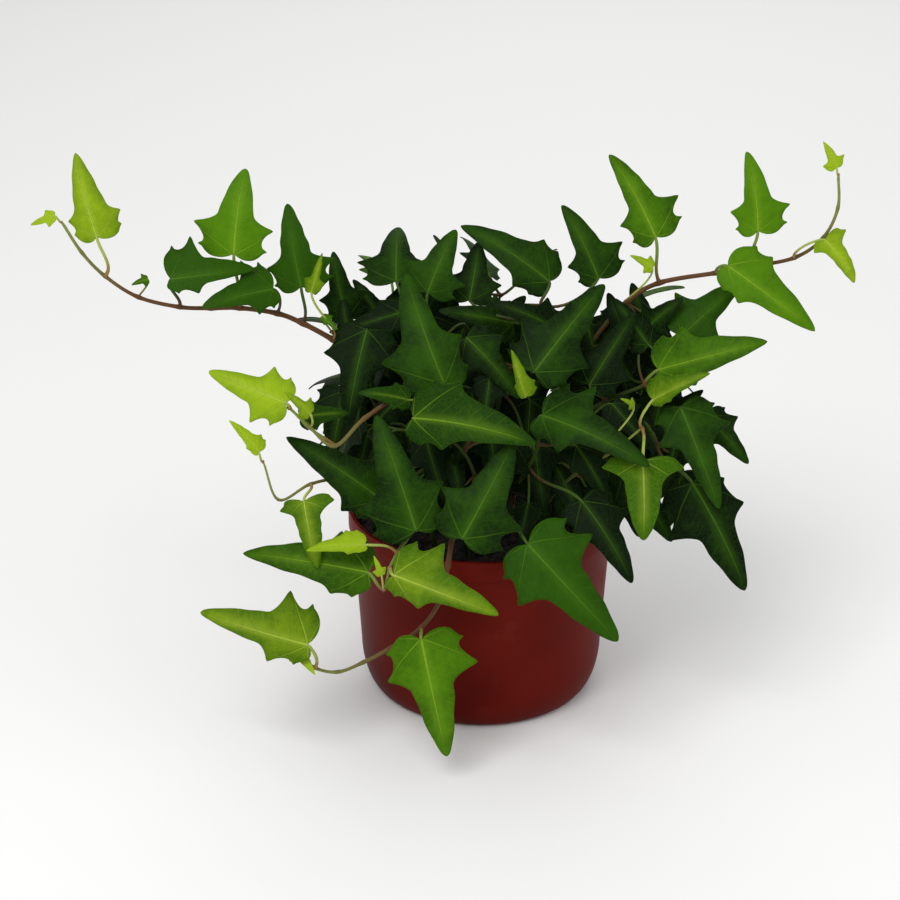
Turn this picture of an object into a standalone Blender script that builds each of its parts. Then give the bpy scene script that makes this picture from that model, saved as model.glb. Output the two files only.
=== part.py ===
"""A potted ivy: a plastic nursery pot, its soil, rooted vines and their lobed leaves.

The frame has +Z up, its origin at the centre of the pot's underside, and -Y towards
the side of the plant that is seen from the front. Lengths are millimetres until they
reach a mesh, and angles are degrees.
"""

import math
from collections import namedtuple

import bmesh
import bpy
from mathutils import Vector

MM = 0.001

# Pot: a turned shell with a slightly wider collar round its top.
POT_HEIGHT = 88.0
POT_RIM_RADIUS = 60.0
POT_WALL = 1.6
POT_STEPS = 40
COLLAR_HEIGHT = 9.0
COLLAR_STEP = 1.6
COLLAR_SLOPE = 1.2
WALL_FOOT_RADIUS = 55.0
FOOT_CURVE_HEIGHT = 22.0
BASE_RADIUS = 46.5
FOOT_CURVE_PARTS = 3
DRAIN_HOLES = 6
DRAIN_RADIUS = 4.0
DRAIN_CIRCLE_RADIUS = 33.0
DRAIN_START = 5.0

# Soil: one plug that fills the pot up to a little under its rim.
SOIL_DEPTH_BELOW_RIM = 10.0
SOIL_DOME = 4.0
SOIL_DOME_PARTS = 5
SOIL_EDGE_DROP = 1.0
SOIL_STEPS = 32

# Fits between pieces.
CLEARANCE = 0.35
FOOT_CLEARANCE = 1.0
ROOT_DEPTH = 7.0
ROOT_RISE = 3.0
ROOT_HOLE_CLEARANCE = 0.4
ROOT_HOLE_SIDES = 8

# Stems and leaves. The plant stands on the pot: its heights below are those over a pot of
# the drawn height, and it rises and sinks with a taller or lower one.
DRAWN_POT_HEIGHT = 88.0
STEM_TIP_SHARE = 0.6
STEM_SPAN_PARTS = 2
PETIOLE_RADIUS = 0.8
PETIOLE_PARTS = 4
PETIOLE_HANDLE_SHARE = 0.35
BLADE_TOP = 0.45
BLADE_BELOW = 0.60
BLADE_TIP_THICKNESS_SHARE = 0.35
BLADE_ARCH = 0.07
SIDE_DROP = 0.12
FACING_RISE = 0.75

# Half outlines of the leaf blade: where each strip starts on the midrib and how far along
# the blade its edge point lies, as shares of the length, and how far across it lies, as a
# share of the half width at the wide lobes.
ARROW_OUTLINE = (
    (0.02, -0.04, 0.24),
    (0.06, -0.03, 0.58),
    (0.12, 0.08, 0.74),
    (0.19, 0.19, 0.80),
    (0.28, 0.34, 1.00),
    (0.37, 0.40, 0.72),
    (0.46, 0.47, 0.46),
    (0.62, 0.61, 0.37),
    (0.78, 0.78, 0.28),
    (0.91, 0.93, 0.15),
)
YOUNG_OUTLINE = (
    (0.05, -0.02, 0.50),
    (0.16, 0.12, 0.85),
    (0.28, 0.30, 1.00),
    (0.44, 0.46, 0.50),
    (0.70, 0.70, 0.38),
    (0.90, 0.92, 0.17),
)
BLADE_END = 0.985

Vine = namedtuple("Vine", "name radius root nodes")
Leaf = namedtuple("Leaf", "name node base tip spread kind joined facing roll", defaults=(False, -90, 0))

# Each vine comes out of the soil at its root (x, y) and runs through its nodes, the
# places where its leaves grow. Node 0 is the root itself.
VINES = (
    Vine("left_runner", 1.7, (-24, 8), (
        (-26, 9, 104), (-34, 11, 132), (-48, 11, 150), (-66, 10, 162), (-79, 9, 170),
        (-90, 8, 175), (-106, 4, 179), (-118, 1, 180), (-131, -3, 182), (-148, -7, 188),
        (-161, -11, 199), (-170, -12, 210), (-177, -14, 224),
    )),
    Vine("right_runner", 1.6, (22, 12), (
        (24, 13, 104), (34, 15, 132), (48, 16, 158), (63, 16, 178), (77, 14, 188),
        (101, 8, 195), (115, 5, 199), (133, 0, 205), (144, -3, 215), (150, 1, 227), (150, 6, 240),
    )),
    Vine("front_trailer", 1.5, (-6, -40), (
        (-8, -46, 94), (-12, -57, 99), (-14, -71, 93), (-17, -79, 81), (-25, -82, 69),
        (-38, -80, 58), (-50, -77, 49), (-61, -75, 43), (-71, -75, 45), (-79, -75, 53),
    )),
    Vine("rim_shoot", 1.3, (-20, -37), (
        (-22, -43, 95), (-27, -57, 104), (-32, -69, 103), (-35, -76, 101), (-38, -82, 97),
        (-40, -86, 89),
    )),
    Vine("left_trailer", 1.5, (-20, -16), (
        (-22, -18, 104), (-27, -24, 134), (-34, -31, 152), (-49, -50, 151),
        (-61, -63, 144), (-71, -66, 154), (-79, -67, 163),
    )),
    Vine("left_sprig", 1.2, (-32, -26), (
        (-35, -30, 96), (-46, -40, 110), (-60, -50, 122), (-72, -58, 124),
        (-85, -65, 120), (-91, -62, 136),
    )),
    Vine("left_mid", 1.5, (-36, -4), (
        (-38, -3, 100), (-44, -1, 126), (-52, -1, 146), (-58, 2, 158),
    )),
    Vine("crown_left", 1.6, (-12, 4), (
        (-13, 4, 112), (-17, 2, 142), (-22, 0, 162), (-27, 4, 174),
    )),
    Vine("crown_mid", 1.6, (4, 2), (
        (5, 1, 112), (8, -2, 142), (14, -6, 156), (18, -5, 166), (22, -2, 174), (26, 4, 181),
    )),
    Vine("crown_right", 1.6, (24, -8), (
        (28, -9, 106), (38, -11, 130), (54, -14, 144), (70, -15, 152), (82, -10, 160),
    )),
    Vine("right_sprig", 1.2, (20, -28), (
        (26, -31, 99), (40, -34, 118), (56, -36, 130), (68, -34, 140),
    )),
    Vine("right_low", 1.5, (38, -6), (
        (44, -8, 98), (58, -14, 116), (76, -20, 126), (90, -22, 130),
    )),
    Vine("front_left", 1.5, (-18, -10), (
        (-18, -16, 100), (-22, -30, 118), (-29, -46, 122), (-34, -58, 117),
    )),
    Vine("front_mid", 1.4, (0, -22), (
        (0, -27, 100), (-3, -36, 118), (-8, -42, 132), (-18, -43, 142),
    )),
    Vine("front_right", 1.5, (12, -14), (
        (14, -20, 102), (20, -32, 120), (24, -38, 134), (22, -38, 143),
    )),
    Vine("back_left", 1.6, (-16, 24), (
        (-19, 30, 108), (-27, 38, 136), (-36, 44, 154), (-42, 46, 166),
    )),
    Vine("back_mid", 1.6, (4, 28), (
        (4, 38, 108), (3, 50, 134), (4, 54, 154), (8, 50, 168),
    )),
    Vine("back_right", 1.6, (28, 26), (
        (32, 32, 106), (40, 40, 130), (48, 40, 148), (52, 36, 160),
    )),
)

# Each leaf names the node that it grows from, its base, its tip, its half widths to the
# left and right of the midrib at the wide lobes as shares of its length, its age, whether
# it is one piece with its stem, the way its upper face looks as an angle round Z from +X,
# and a roll about its midrib.
LEAVES = {
    "left_runner": (
        Leaf("left_runner_leaf_1", 11, (-163, -13, 217), (-172, 0, 250), (0.25, 0.35), "young"),
        Leaf("left_runner_leaf_2", 7, (-107, 0, 205), (-102, 14, 239), (0.50, 0.42), "green"),
        Leaf("left_runner_leaf_3", 9, (-133, -12, 198), (-98, -4, 200), (0.50, 0.20), "dark"),
        Leaf("left_runner_leaf_4", 6, (-90, -4, 191), (-119, -18, 188), (0.30, 0.48), "dark"),
        Leaf("left_runner_leaf_5", 5, (-79, 6, 188), (-85, 18, 222), (0.36, 0.45), "dark"),
        Leaf("left_runner_leaf_6", 4, (-74, -3, 189), (-69, 0, 206), (0.25, 0.25), "young", True),
        Leaf("left_runner_leaf_7", 4, (-70, 2, 176), (-62, -2, 170), (0.30, 0.20), "green", True),
        Leaf("left_runner_leaf_8", 10, (-143, -9, 197), (-150, -11, 195), (0.40, 0.40), "green", True),
        Leaf("left_runner_leaf_9", 13, (-180, -14, 227), (-191, -12, 222), (0.30, 0.30), "young", True),
    ),
    "right_runner": (
        Leaf("right_runner_leaf_1", 5, (74, 8, 211), (54, 24, 243), (0.28, 0.40), "green"),
        Leaf("right_runner_leaf_2", 7, (117, 2, 216), (112, 16, 247), (0.32, 0.42), "green"),
        Leaf("right_runner_leaf_3", 6, (104, -5, 203), (141, -19, 179), (0.34, 0.22), "green"),
        Leaf("right_runner_leaf_4", 8, (144, -8, 216), (157, -14, 199), (0.45, 0.25), "young"),
        Leaf("right_runner_leaf_5", 4, (73, 3, 199), (63, 2, 205), (0.35, 0.35), "young", True),
        Leaf("right_runner_leaf_6", 11, (149, 6, 243), (143, 8, 254), (0.40, 0.40), "young", True),
    ),
    "front_trailer": (
        Leaf("front_trailer_leaf_1", 5, (-25, -88, 67), (-14, -96, 14), (0.38, 0.32), "green"),
        Leaf("front_trailer_leaf_2", 9, (-73, -82, 60), (-119, -74, 71), (0.22, 0.42), "young"),
        Leaf("front_trailer_leaf_3", 10, (-79, -78, 57), (-70, -86, 48), (0.35, 0.35), "young", True),
    ),
    "rim_shoot": (
        Leaf("rim_shoot_leaf_1", 4, (-48, -86, 110), (-72, -88, 108), (0.15, 0.28), "young"),
        Leaf("rim_shoot_leaf_2", 5, (-36, -92, 99), (7, -105, 88), (0.42, 0.20), "young"),
        Leaf("rim_shoot_leaf_3", 6, (-47, -82, 95), (-100, -73, 99), (0.22, 0.28), "green"),
        Leaf("rim_shoot_leaf_4", 6, (-41, -92, 99), (-44, -92, 108), (0.30, 0.30), "young", True),
    ),
    "left_trailer": (
        Leaf("left_trailer_leaf_1", 7, (-80, -69, 166), (-112, -62, 177), (0.36, 0.36), "young"),
        Leaf("left_trailer_leaf_2", 5, (-76, -47, 150), (-56, -40, 149), (0.30, 0.30), "green", True),
        Leaf("left_trailer_leaf_3", 6, (-70, -71, 162), (-80, -76, 174), (0.30, 0.30), "young", True),
    ),
    "left_sprig": (
        Leaf("left_sprig_leaf_1", 6, (-93, -61, 140), (-105, -58, 153), (0.15, 0.34), "young"),
        Leaf("left_sprig_leaf_2", 4, (-74, -70, 122), (-68, -84, 98), (0.45, 0.36), "young"),
    ),
    "left_mid": (
        Leaf("left_mid_leaf_1", 4, (-60, 16, 170), (-66, 24, 198), (0.32, 0.38), "dark"),
        Leaf("left_mid_leaf_2", 3, (-50, -8, 174), (-58, -26, 137), (0.38, 0.38), "dark"),
        Leaf("left_mid_leaf_3", 4, (-36, 2, 178), (-62, 2, 169), (0.30, 0.30), "dark", True),
    ),
    "crown_left": (
        Leaf("crown_left_leaf_1", 3, (-38, 14, 188), (-38, 44, 203), (0.50, 0.42), "dark"),
        Leaf("crown_left_leaf_2", 4, (-24, 6, 186), (-12, 20, 210), (0.48, 0.46), "dark"),
        Leaf("crown_left_leaf_3", 3, (-16, -34, 160), (-33, -6, 199), (0.42, 0.28), "dark"),
        Leaf("crown_left_leaf_4", 2, (-31, -40, 155), (-52, -42, 159), (0.25, 0.30), "green", True),
        Leaf("crown_left_leaf_5", 4, (-26, 22, 170), (-38, 42, 196), (0.40, 0.40), "dark", True),
    ),
    "crown_mid": (
        Leaf("crown_mid_leaf_1", 6, (29, 12, 189), (-10, 28, 209), (0.24, 0.30), "dark"),
        Leaf("crown_mid_leaf_2", 6, (50, 8, 192), (34, 24, 220), (0.28, 0.45), "dark"),
        Leaf("crown_mid_leaf_3", 4, (22, -30, 164), (52, -4, 194), (0.37, 0.34), "dark"),
        Leaf("crown_mid_leaf_4", 3, (-7, -14, 173), (16, -24, 149), (0.36, 0.36), "dark"),
        Leaf("crown_mid_leaf_5", 5, (-6, 12, 180), (-2, 30, 201), (0.45, 0.45), "dark", True),
        Leaf("crown_mid_leaf_6", 3, (18, -42, 158), (12, -40, 178), (0.15, 0.30), "young", True),
        Leaf("crown_mid_leaf_7", 5, (34, -4, 172), (4, -3, 185), (0.32, 0.32), "dark", True),
    ),
    "crown_right": (
        Leaf("crown_right_leaf_1", 3, (46, -20, 154), (66, 0, 180), (0.36, 0.36), "dark"),
        Leaf("crown_right_leaf_2", 5, (86, -3, 170), (112, 10, 190), (0.45, 0.33), "dark"),
        Leaf("crown_right_leaf_3", 4, (75, -22, 162), (120, -26, 177), (0.32, 0.22), "green"),
        Leaf("crown_right_leaf_4", 4, (70, 2, 170), (86, 0, 186), (0.42, 0.42), "dark", True),
        Leaf("crown_right_leaf_5", 2, (56, -22, 146), (72, -34, 130), (0.36, 0.36), "dark", True),
    ),
    "right_sprig": (
        Leaf("right_sprig_leaf_1", 4, (72, -36, 154), (95, -40, 168), (0.36, 0.16), "young"),
        Leaf("right_sprig_leaf_2", 4, (67, -60, 137), (67, -80, 110), (0.50, 0.50), "young"),
        Leaf("right_sprig_leaf_3", 3, (64, -40, 153), (58, -44, 158), (0.30, 0.30), "young", True),
    ),
    "right_low": (
        Leaf("right_low_leaf_1", 4, (84, -34, 150), (100, -58, 114), (0.37, 0.30), "dark"),
        Leaf("right_low_leaf_2", 3, (90, -42, 118), (113, -60, 76), (0.30, 0.40), "dark"),
        Leaf("right_low_leaf_3", 4, (98, -14, 137), (116, -22, 118), (0.36, 0.36), "dark", True),
        Leaf("right_low_leaf_4", 2, (62, -30, 118), (82, -46, 92), (0.36, 0.36), "dark", True),
    ),
    "front_left": (
        Leaf("front_left_leaf_1", 3, (-42, -62, 119), (-82, -52, 143), (0.28, 0.28), "dark"),
        Leaf("front_left_leaf_2", 4, (-27, -77, 112), (-44, -54, 154), (0.40, 0.32), "dark"),
    ),
    "front_mid": (
        Leaf("front_mid_leaf_1", 4, (-29, -50, 151), (22, -64, 146), (0.36, 0.22), "green"),
        Leaf("front_mid_leaf_2", 2, (-8, -80, 110), (13, -58, 144), (0.38, 0.42), "green"),
        Leaf("front_mid_leaf_3", 3, (16, -24, 127), (-20, -30, 120), (0.38, 0.38), "dark", True),
    ),
    "front_right": (
        Leaf("front_right_leaf_1", 4, (25, -44, 150), (69, -68, 138), (0.38, 0.24), "dark"),
        Leaf("front_right_leaf_2", 2, (42, -60, 118), (63, -80, 90), (0.34, 0.34), "dark"),
        Leaf("front_right_leaf_3", 1, (19, -80, 108), (57, -94, 70), (0.40, 0.36), "dark"),
        Leaf("front_right_leaf_4", 3, (40, -44, 136), (54, -54, 114), (0.30, 0.30), "dark", True),
        Leaf("front_right_leaf_5", 2, (32, -12, 124), (24, -26, 94), (0.36, 0.36), "dark", True),
    ),
    "back_left": (
        Leaf("back_left_leaf_1", 3, (-52, 46, 150), (-88, 60, 152), (0.40, 0.36), "dark", True, 130),
        Leaf("back_left_leaf_2", 2, (-38, 58, 138), (-56, 90, 118), (0.38, 0.42), "dark", True, 120),
        Leaf("back_left_leaf_3", 1, (-44, 48, 122), (-76, 66, 92), (0.42, 0.36), "green", True, 140),
        Leaf("back_left_leaf_4", 4, (-42, 54, 174), (-58, 82, 176), (0.36, 0.40), "green", True, 110),
    ),
    "back_mid": (
        Leaf("back_mid_leaf_1", 4, (2, 58, 176), (-10, 86, 184), (0.40, 0.36), "dark", True, 95),
        Leaf("back_mid_leaf_2", 3, (10, 68, 148), (22, 102, 132), (0.36, 0.42), "green", True, 80),
        Leaf("back_mid_leaf_3", 2, (-8, 68, 126), (-20, 94, 88), (0.42, 0.38), "dark", True, 100),
        Leaf("back_mid_leaf_4", 4, (18, 56, 174), (34, 80, 180), (0.36, 0.36), "dark", True, 80),
        Leaf("back_mid_leaf_5", 1, (6, 70, 104), (16, 90, 62), (0.38, 0.40), "green", True, 85),
    ),
    "back_right": (
        Leaf("back_right_leaf_1", 4, (60, 40, 166), (92, 58, 170), (0.38, 0.36), "green", True, 60),
        Leaf("back_right_leaf_2", 3, (54, 52, 146), (82, 76, 128), (0.36, 0.40), "dark", True, 50),
        Leaf("back_right_leaf_3", 2, (44, 60, 120), (58, 86, 84), (0.40, 0.38), "green", True, 60),
        Leaf("back_right_leaf_4", 3, (64, 30, 146), (98, 36, 126), (0.36, 0.40), "dark", True, 20),
    ),
}

COLOURS = {
    "pot_plastic": ((0.16, 0.035, 0.02), 0.42),
    "soil": ((0.035, 0.02, 0.012), 0.95),
    "stem": ((0.13, 0.075, 0.03), 0.6),
    "leaf_dark": ((0.015, 0.055, 0.015), 0.4),
    "leaf_green": ((0.045, 0.16, 0.02), 0.42),
    "leaf_young": ((0.22, 0.38, 0.03), 0.45),
}


def clear_scene():
    for old in list(bpy.data.objects):
        bpy.data.objects.remove(old, do_unlink=True)


def make_collection(name):
    collection = bpy.data.collections.new(name)
    bpy.context.scene.collection.children.link(collection)
    return collection


def make_materials():
    materials = {}
    for name, (colour, roughness) in COLOURS.items():
        material = bpy.data.materials.new(name)
        material.use_nodes = True
        shader = material.node_tree.nodes["Principled BSDF"]
        shader.inputs["Base Color"].default_value = (*colour, 1.0)
        shader.inputs["Roughness"].default_value = roughness
        shader.inputs["Metallic"].default_value = 0.0
        materials[name] = material
    return materials


def add_object(name, mesh, collection, material):
    thing = bpy.data.objects.new(name, mesh)
    mesh.materials.append(material)
    collection.objects.link(thing)
    return thing


def hide_helper(thing):
    thing.hide_render = True
    thing.display_type = "WIRE"


def turn_profile(name, profile, steps, collection, material):
    """A profile of (radius, height) points, from the top of its outer side down, turned round Z."""
    mesh = bpy.data.meshes.new(name)
    points = [(radius * MM, 0.0, height * MM) for radius, height in profile]
    mesh.from_pydata(points, [(i, i + 1) for i in range(len(points) - 1)], [])
    thing = add_object(name, mesh, collection, material)
    screw = thing.modifiers.new("turn", "SCREW")
    screw.steps = steps
    screw.render_steps = steps
    screw.use_merge_vertices = True
    screw.merge_threshold = 0.00001
    return thing


def foot_curve(inset):
    """The quarter oval from the tapering wall to the base, drawn in by an inset."""
    points = []
    for part in range(FOOT_CURVE_PARTS + 1):
        turn = math.radians(90.0 * part / FOOT_CURVE_PARTS)
        radius = BASE_RADIUS + (WALL_FOOT_RADIUS - BASE_RADIUS - inset) * math.cos(turn)
        height = FOOT_CURVE_HEIGHT - (FOOT_CURVE_HEIGHT - inset) * math.sin(turn)
        points.append((radius, height))
    return points


def pot_outer_profile():
    """The pot's outer side from the lip down: collar, tapering wall, curved foot, flat base."""
    wall_top = POT_RIM_RADIUS - COLLAR_STEP
    profile = [
        (POT_RIM_RADIUS, POT_HEIGHT),
        (POT_RIM_RADIUS, POT_HEIGHT - COLLAR_HEIGHT),
        (wall_top, POT_HEIGHT - COLLAR_HEIGHT - COLLAR_SLOPE),
        (WALL_FOOT_RADIUS, FOOT_CURVE_HEIGHT),
    ]
    profile += foot_curve(0.0)[1:]
    profile.append((0.0, 0.0))
    return profile


def add_cylinder_cutter(name, radius, centre, depth, sides, collection):
    bpy.ops.mesh.primitive_cylinder_add(
        vertices=sides, radius=radius * MM, depth=depth * MM, location=[c * MM for c in centre]
    )
    cutter = bpy.context.active_object
    cutter.name = name
    for owner in list(cutter.users_collection):
        owner.objects.unlink(cutter)
    collection.objects.link(cutter)
    hide_helper(cutter)
    return cutter


def add_boolean(thing, other, operation):
    boolean = thing.modifiers.new(other.name, "BOOLEAN")
    boolean.operation = operation
    boolean.solver = "EXACT"
    boolean.material_mode = "TRANSFER"
    boolean.object = other


def build_pot(parts, cutters, materials):
    pot = turn_profile("pot", pot_outer_profile(), POT_STEPS, parts, materials["pot_plastic"])
    wall = pot.modifiers.new("wall", "SOLIDIFY")
    wall.thickness = POT_WALL * MM
    wall.offset = -1.0
    wall.use_even_offset = True
    for hole in range(DRAIN_HOLES):
        turn = math.radians(DRAIN_START + 360.0 * hole / DRAIN_HOLES)
        centre = (DRAIN_CIRCLE_RADIUS * math.cos(turn), DRAIN_CIRCLE_RADIUS * math.sin(turn), 0.0)
        cutter = add_cylinder_cutter(f"drain_cutter_{hole + 1}", DRAIN_RADIUS, centre, 12.0, 12, cutters)
        add_boolean(pot, cutter, "DIFFERENCE")
    return pot


def soil_top(radius):
    """Height of the soil's domed surface at a distance from the pot's axis."""
    share = min(radius / POT_RIM_RADIUS, 1.0)
    return POT_HEIGHT - SOIL_DEPTH_BELOW_RIM + SOIL_DOME * (1.0 - share * share)


def pot_inner_radius(height):
    """The radius of the tapering wall's inside at a height above the foot curve."""
    wall_top = POT_RIM_RADIUS - COLLAR_STEP
    wall_top_height = POT_HEIGHT - COLLAR_HEIGHT - COLLAR_SLOPE
    share = (height - FOOT_CURVE_HEIGHT) / (wall_top_height - FOOT_CURVE_HEIGHT)
    return WALL_FOOT_RADIUS + min(share, 1.0) * (wall_top - WALL_FOOT_RADIUS) - POT_WALL


def soil_profile():
    """The plug's outside from the middle of its top, over the edge and down to its bottom."""
    edge_height = POT_HEIGHT - SOIL_DEPTH_BELOW_RIM - SOIL_EDGE_DROP
    edge_radius = pot_inner_radius(edge_height) - CLEARANCE
    profile = []
    for part in range(SOIL_DOME_PARTS):
        radius = edge_radius * part / SOIL_DOME_PARTS
        profile.append((radius, soil_top(radius)))
    profile.append((edge_radius, edge_height))
    profile += foot_curve(POT_WALL + FOOT_CLEARANCE)
    profile.append((0.0, profile[-1][1]))
    return profile


def build_soil(parts, cutters, materials):
    soil = turn_profile("soil", soil_profile(), SOIL_STEPS, parts, materials["soil"])
    for vine in VINES:
        top = root_place(vine)
        radius = vine.radius + ROOT_HOLE_CLEARANCE
        centre = (top.x, top.y, top.z - ROOT_RISE - ROOT_DEPTH - CLEARANCE + 20.0)
        name = f"{vine.name}_root_hole"
        cutter = add_cylinder_cutter(name, radius, centre, 40.0, ROOT_HOLE_SIDES, cutters)
        add_boolean(soil, cutter, "DIFFERENCE")
    return soil


def on_pot(point):
    """A point of the plant, raised by as much as the pot is taller than the drawn one."""
    x, y, z = point
    return Vector((x, y, z + POT_HEIGHT - DRAWN_POT_HEIGHT))


def root_place(vine):
    """Where the stem starts to lean, a little over the soil."""
    x, y = vine.root
    return Vector((x, y, soil_top(math.hypot(x, y)) + ROOT_RISE))


def stem_nodes(vine):
    return [root_place(vine), *(on_pot(node) for node in vine.nodes)]


def stem_route(vine):
    """Points from the stem's foot in the soil, along a smooth curve with each node on it."""
    nodes = stem_nodes(vine)
    knots = [nodes[0] * 2.0 - nodes[1], *nodes, nodes[-1] * 2.0 - nodes[-2]]
    route = [nodes[0] - Vector((0.0, 0.0, ROOT_RISE + ROOT_DEPTH))]
    for i in range(1, len(knots) - 2):
        before, start, end, after = knots[i - 1 : i + 3]
        for part in range(STEM_SPAN_PARTS):
            t = part / STEM_SPAN_PARTS
            route.append(0.5 * (
                2.0 * start + (end - before) * t
                + (2.0 * before - 5.0 * start + 4.0 * end - after) * t ** 2
                + (3.0 * start - before - 3.0 * end + after) * t ** 3
            ))
    route.append(nodes[-1])
    return route


def stem_radius(vine, share):
    """The stem's radius at a share of its way from the soil to its end."""
    return vine.radius * (1.0 - (1.0 - STEM_TIP_SHARE) * share)


def build_stem(vine, parts, material):
    """A tapering tube through the vine's nodes, made a mesh so that leaves can be joined to it."""
    route = stem_route(vine)
    curve = bpy.data.curves.new(vine.name, "CURVE")
    curve.dimensions = "3D"
    curve.bevel_depth = MM
    curve.bevel_resolution = 2
    curve.use_fill_caps = True
    spline = curve.splines.new("POLY")
    spline.points.add(len(route) - 1)
    for i, (point, place) in enumerate(zip(spline.points, route)):
        point.co = (*(place * MM), 1.0)
        point.radius = stem_radius(vine, i / (len(route) - 1))
    guide = bpy.data.objects.new(f"{vine.name}_guide", curve)
    parts.objects.link(guide)
    graph = bpy.context.evaluated_depsgraph_get()
    mesh = bpy.data.meshes.new_from_object(guide.evaluated_get(graph))
    bpy.data.objects.remove(guide, do_unlink=True)
    work = bmesh.new()
    work.from_mesh(mesh)
    bmesh.ops.remove_doubles(work, verts=work.verts, dist=0.00001)
    work.to_mesh(mesh)
    work.free()
    return add_object(vine.name, mesh, parts, material)


def leaf_frame(leaf):
    """The blade's axes (across, along, up through its upper face) and its length."""
    span = Vector(leaf.tip) - Vector(leaf.base)
    along = span.normalized()
    turn = math.radians(leaf.facing)
    facing = Vector((math.cos(turn), math.sin(turn), FACING_RISE))
    up = (facing - along * facing.dot(along)).normalized()
    across = along.cross(up)
    roll = math.radians(leaf.roll)
    turned = across * math.cos(roll) + up * math.sin(roll)
    return turned, along, turned.cross(along), span.length


def petiole_start(leaf, vine):
    """Where the leaf's stalk leaves its vine, and in which direction."""
    nodes = stem_nodes(vine)
    node = nodes[leaf.node]
    heading = (nodes[min(leaf.node + 1, len(nodes) - 1)] - nodes[leaf.node - 1]).normalized()
    reach = on_pot(leaf.base) - node
    away = (reach - heading * reach.dot(heading)).normalized()
    offset = 0.0
    if not leaf.joined:
        offset = stem_radius(vine, leaf.node / len(vine.nodes)) + CLEARANCE
    return node + away * offset, away


def petiole_stations(leaf, vine, along):
    """Points of the stalk with its direction at each, from the vine to just short of the blade."""
    start, away = petiole_start(leaf, vine)
    end = on_pot(leaf.base)
    chord = end - start
    handle = chord.length * PETIOLE_HANDLE_SHARE
    arrival = (chord.normalized() + 0.6 * along).normalized()
    first = start + away * handle
    last = end - arrival * handle
    stations = []
    for part in range(PETIOLE_PARTS):
        t = part / PETIOLE_PARTS
        s = 1.0 - t
        place = start * s ** 3 + first * (3 * s * s * t) + last * (3 * s * t * t) + end * t ** 3
        heading = (first - start) * (s * s) + (last - first) * (2 * s * t) + (end - last) * (t * t)
        stations.append((place, heading.normalized()))
    return stations


def petiole_rings(leaf, vine, frame):
    """Four-cornered rings along the stalk, each turned with it from the blade's own axes."""
    across, along, up, _ = frame
    rings = []
    heading = along
    for place, direction in reversed(petiole_stations(leaf, vine, along)):
        turn = heading.rotation_difference(direction)
        across = turn @ across
        up = turn @ up
        heading = direction
        side = across * PETIOLE_RADIUS
        top = up * PETIOLE_RADIUS
        rings.append([place - side, place + top, place + side, place - top])
    return rings[::-1]


def blade_height(across, along):
    """How far the blade's middle surface stands off its chord, as a share of its length."""
    t = min(max(along, 0.0), 1.0)
    return BLADE_ARCH * 4.0 * t * (1.0 - t) - SIDE_DROP * abs(across)


def blade_rings(leaf, frame):
    """Rings of (left edge, midrib top, right edge, midrib underside) from the base to the tip."""
    across, along, up, length = frame
    base = on_pot(leaf.base)
    outline = YOUNG_OUTLINE if leaf.joined or length < 26.0 else ARROW_OUTLINE
    stalk = PETIOLE_RADIUS / length / max(leaf.spread)
    rings = []
    for midrib, forward, wide in ((0.0, 0.0, stalk), *outline, (BLADE_END, BLADE_END, 0.03)):
        thin = 1.0 - (1.0 - BLADE_TIP_THICKNESS_SHARE) * midrib
        middle = base + (along * midrib + up * blade_height(0.0, midrib)) * length
        edges = []
        for side, spread in zip((-1.0, 1.0), leaf.spread):
            reach = wide * spread
            offset = across * (side * reach) + along * forward + up * blade_height(reach, forward)
            edges.append(base + offset * length)
        top = middle + up * (BLADE_TOP * thin)
        below = middle - up * (BLADE_BELOW * thin)
        rings.append([edges[0], top, edges[1], below])
    return rings


def add_strip(work, first, second):
    """The faces between two rings of four corners, split the same way above and below."""
    for corner in range(4):
        following = (corner + 1) % 4
        if corner % 2 == 0:
            work.faces.new((first[corner], second[following], second[corner]))
            work.faces.new((first[corner], first[following], second[following]))
        else:
            work.faces.new((first[corner], first[following], second[corner]))
            work.faces.new((first[following], second[following], second[corner]))


def build_leaf(leaf, vine, collection, materials):
    """A leaf with its stalk, as one loft of rings from the stalk's foot to the blade's tip."""
    frame = leaf_frame(leaf)
    rings = petiole_rings(leaf, vine, frame) + blade_rings(leaf, frame)
    work = bmesh.new()
    rows = [[work.verts.new(corner * MM) for corner in ring] for ring in rings]
    for first, second in zip(rows, rows[1:]):
        add_strip(work, first, second)
    work.faces.new(rows[0])
    work.faces.new(rows[-1][::-1])
    bmesh.ops.recalc_face_normals(work, faces=work.faces)
    mesh = bpy.data.meshes.new(leaf.name)
    work.to_mesh(mesh)
    work.free()
    return add_object(leaf.name, mesh, collection, materials[f"leaf_{leaf.kind}"])


def build_vine(vine, parts, cutters, materials):
    """The vine's stem with its joined leaves, and each of its other leaves as its own object."""
    stem = build_stem(vine, parts, materials["stem"])
    for leaf in LEAVES[vine.name]:
        if not leaf.joined:
            build_leaf(leaf, vine, parts, materials)
            continue
        piece = build_leaf(leaf, vine, cutters, materials)
        hide_helper(piece)
        add_boolean(stem, piece, "UNION")


def main():
    clear_scene()
    parts = make_collection("potted_ivy")
    cutters = make_collection("cutters")
    materials = make_materials()
    build_pot(parts, cutters, materials)
    build_soil(parts, cutters, materials)
    for vine in VINES:
        build_vine(vine, parts, cutters, materials)
    for thing in parts.objects:
        thing.data.shade_smooth()


main()
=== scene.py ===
"""A potted ivy, finished: the plastic pot, the compost, the rooted stems and every leaf.

Each piece stands where its CAD node stands. The frame has +Z up, its origin at the centre
of the pot's underside, and -Y towards the side of the plant that is seen from the front.
Sizes in the tables are millimetres, and become metres as they reach a mesh.
"""

import logging
import math
import random
from collections.abc import Iterator
from contextlib import contextmanager
from dataclasses import dataclass, replace
from enum import Enum
from typing import Any, ClassVar

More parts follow.
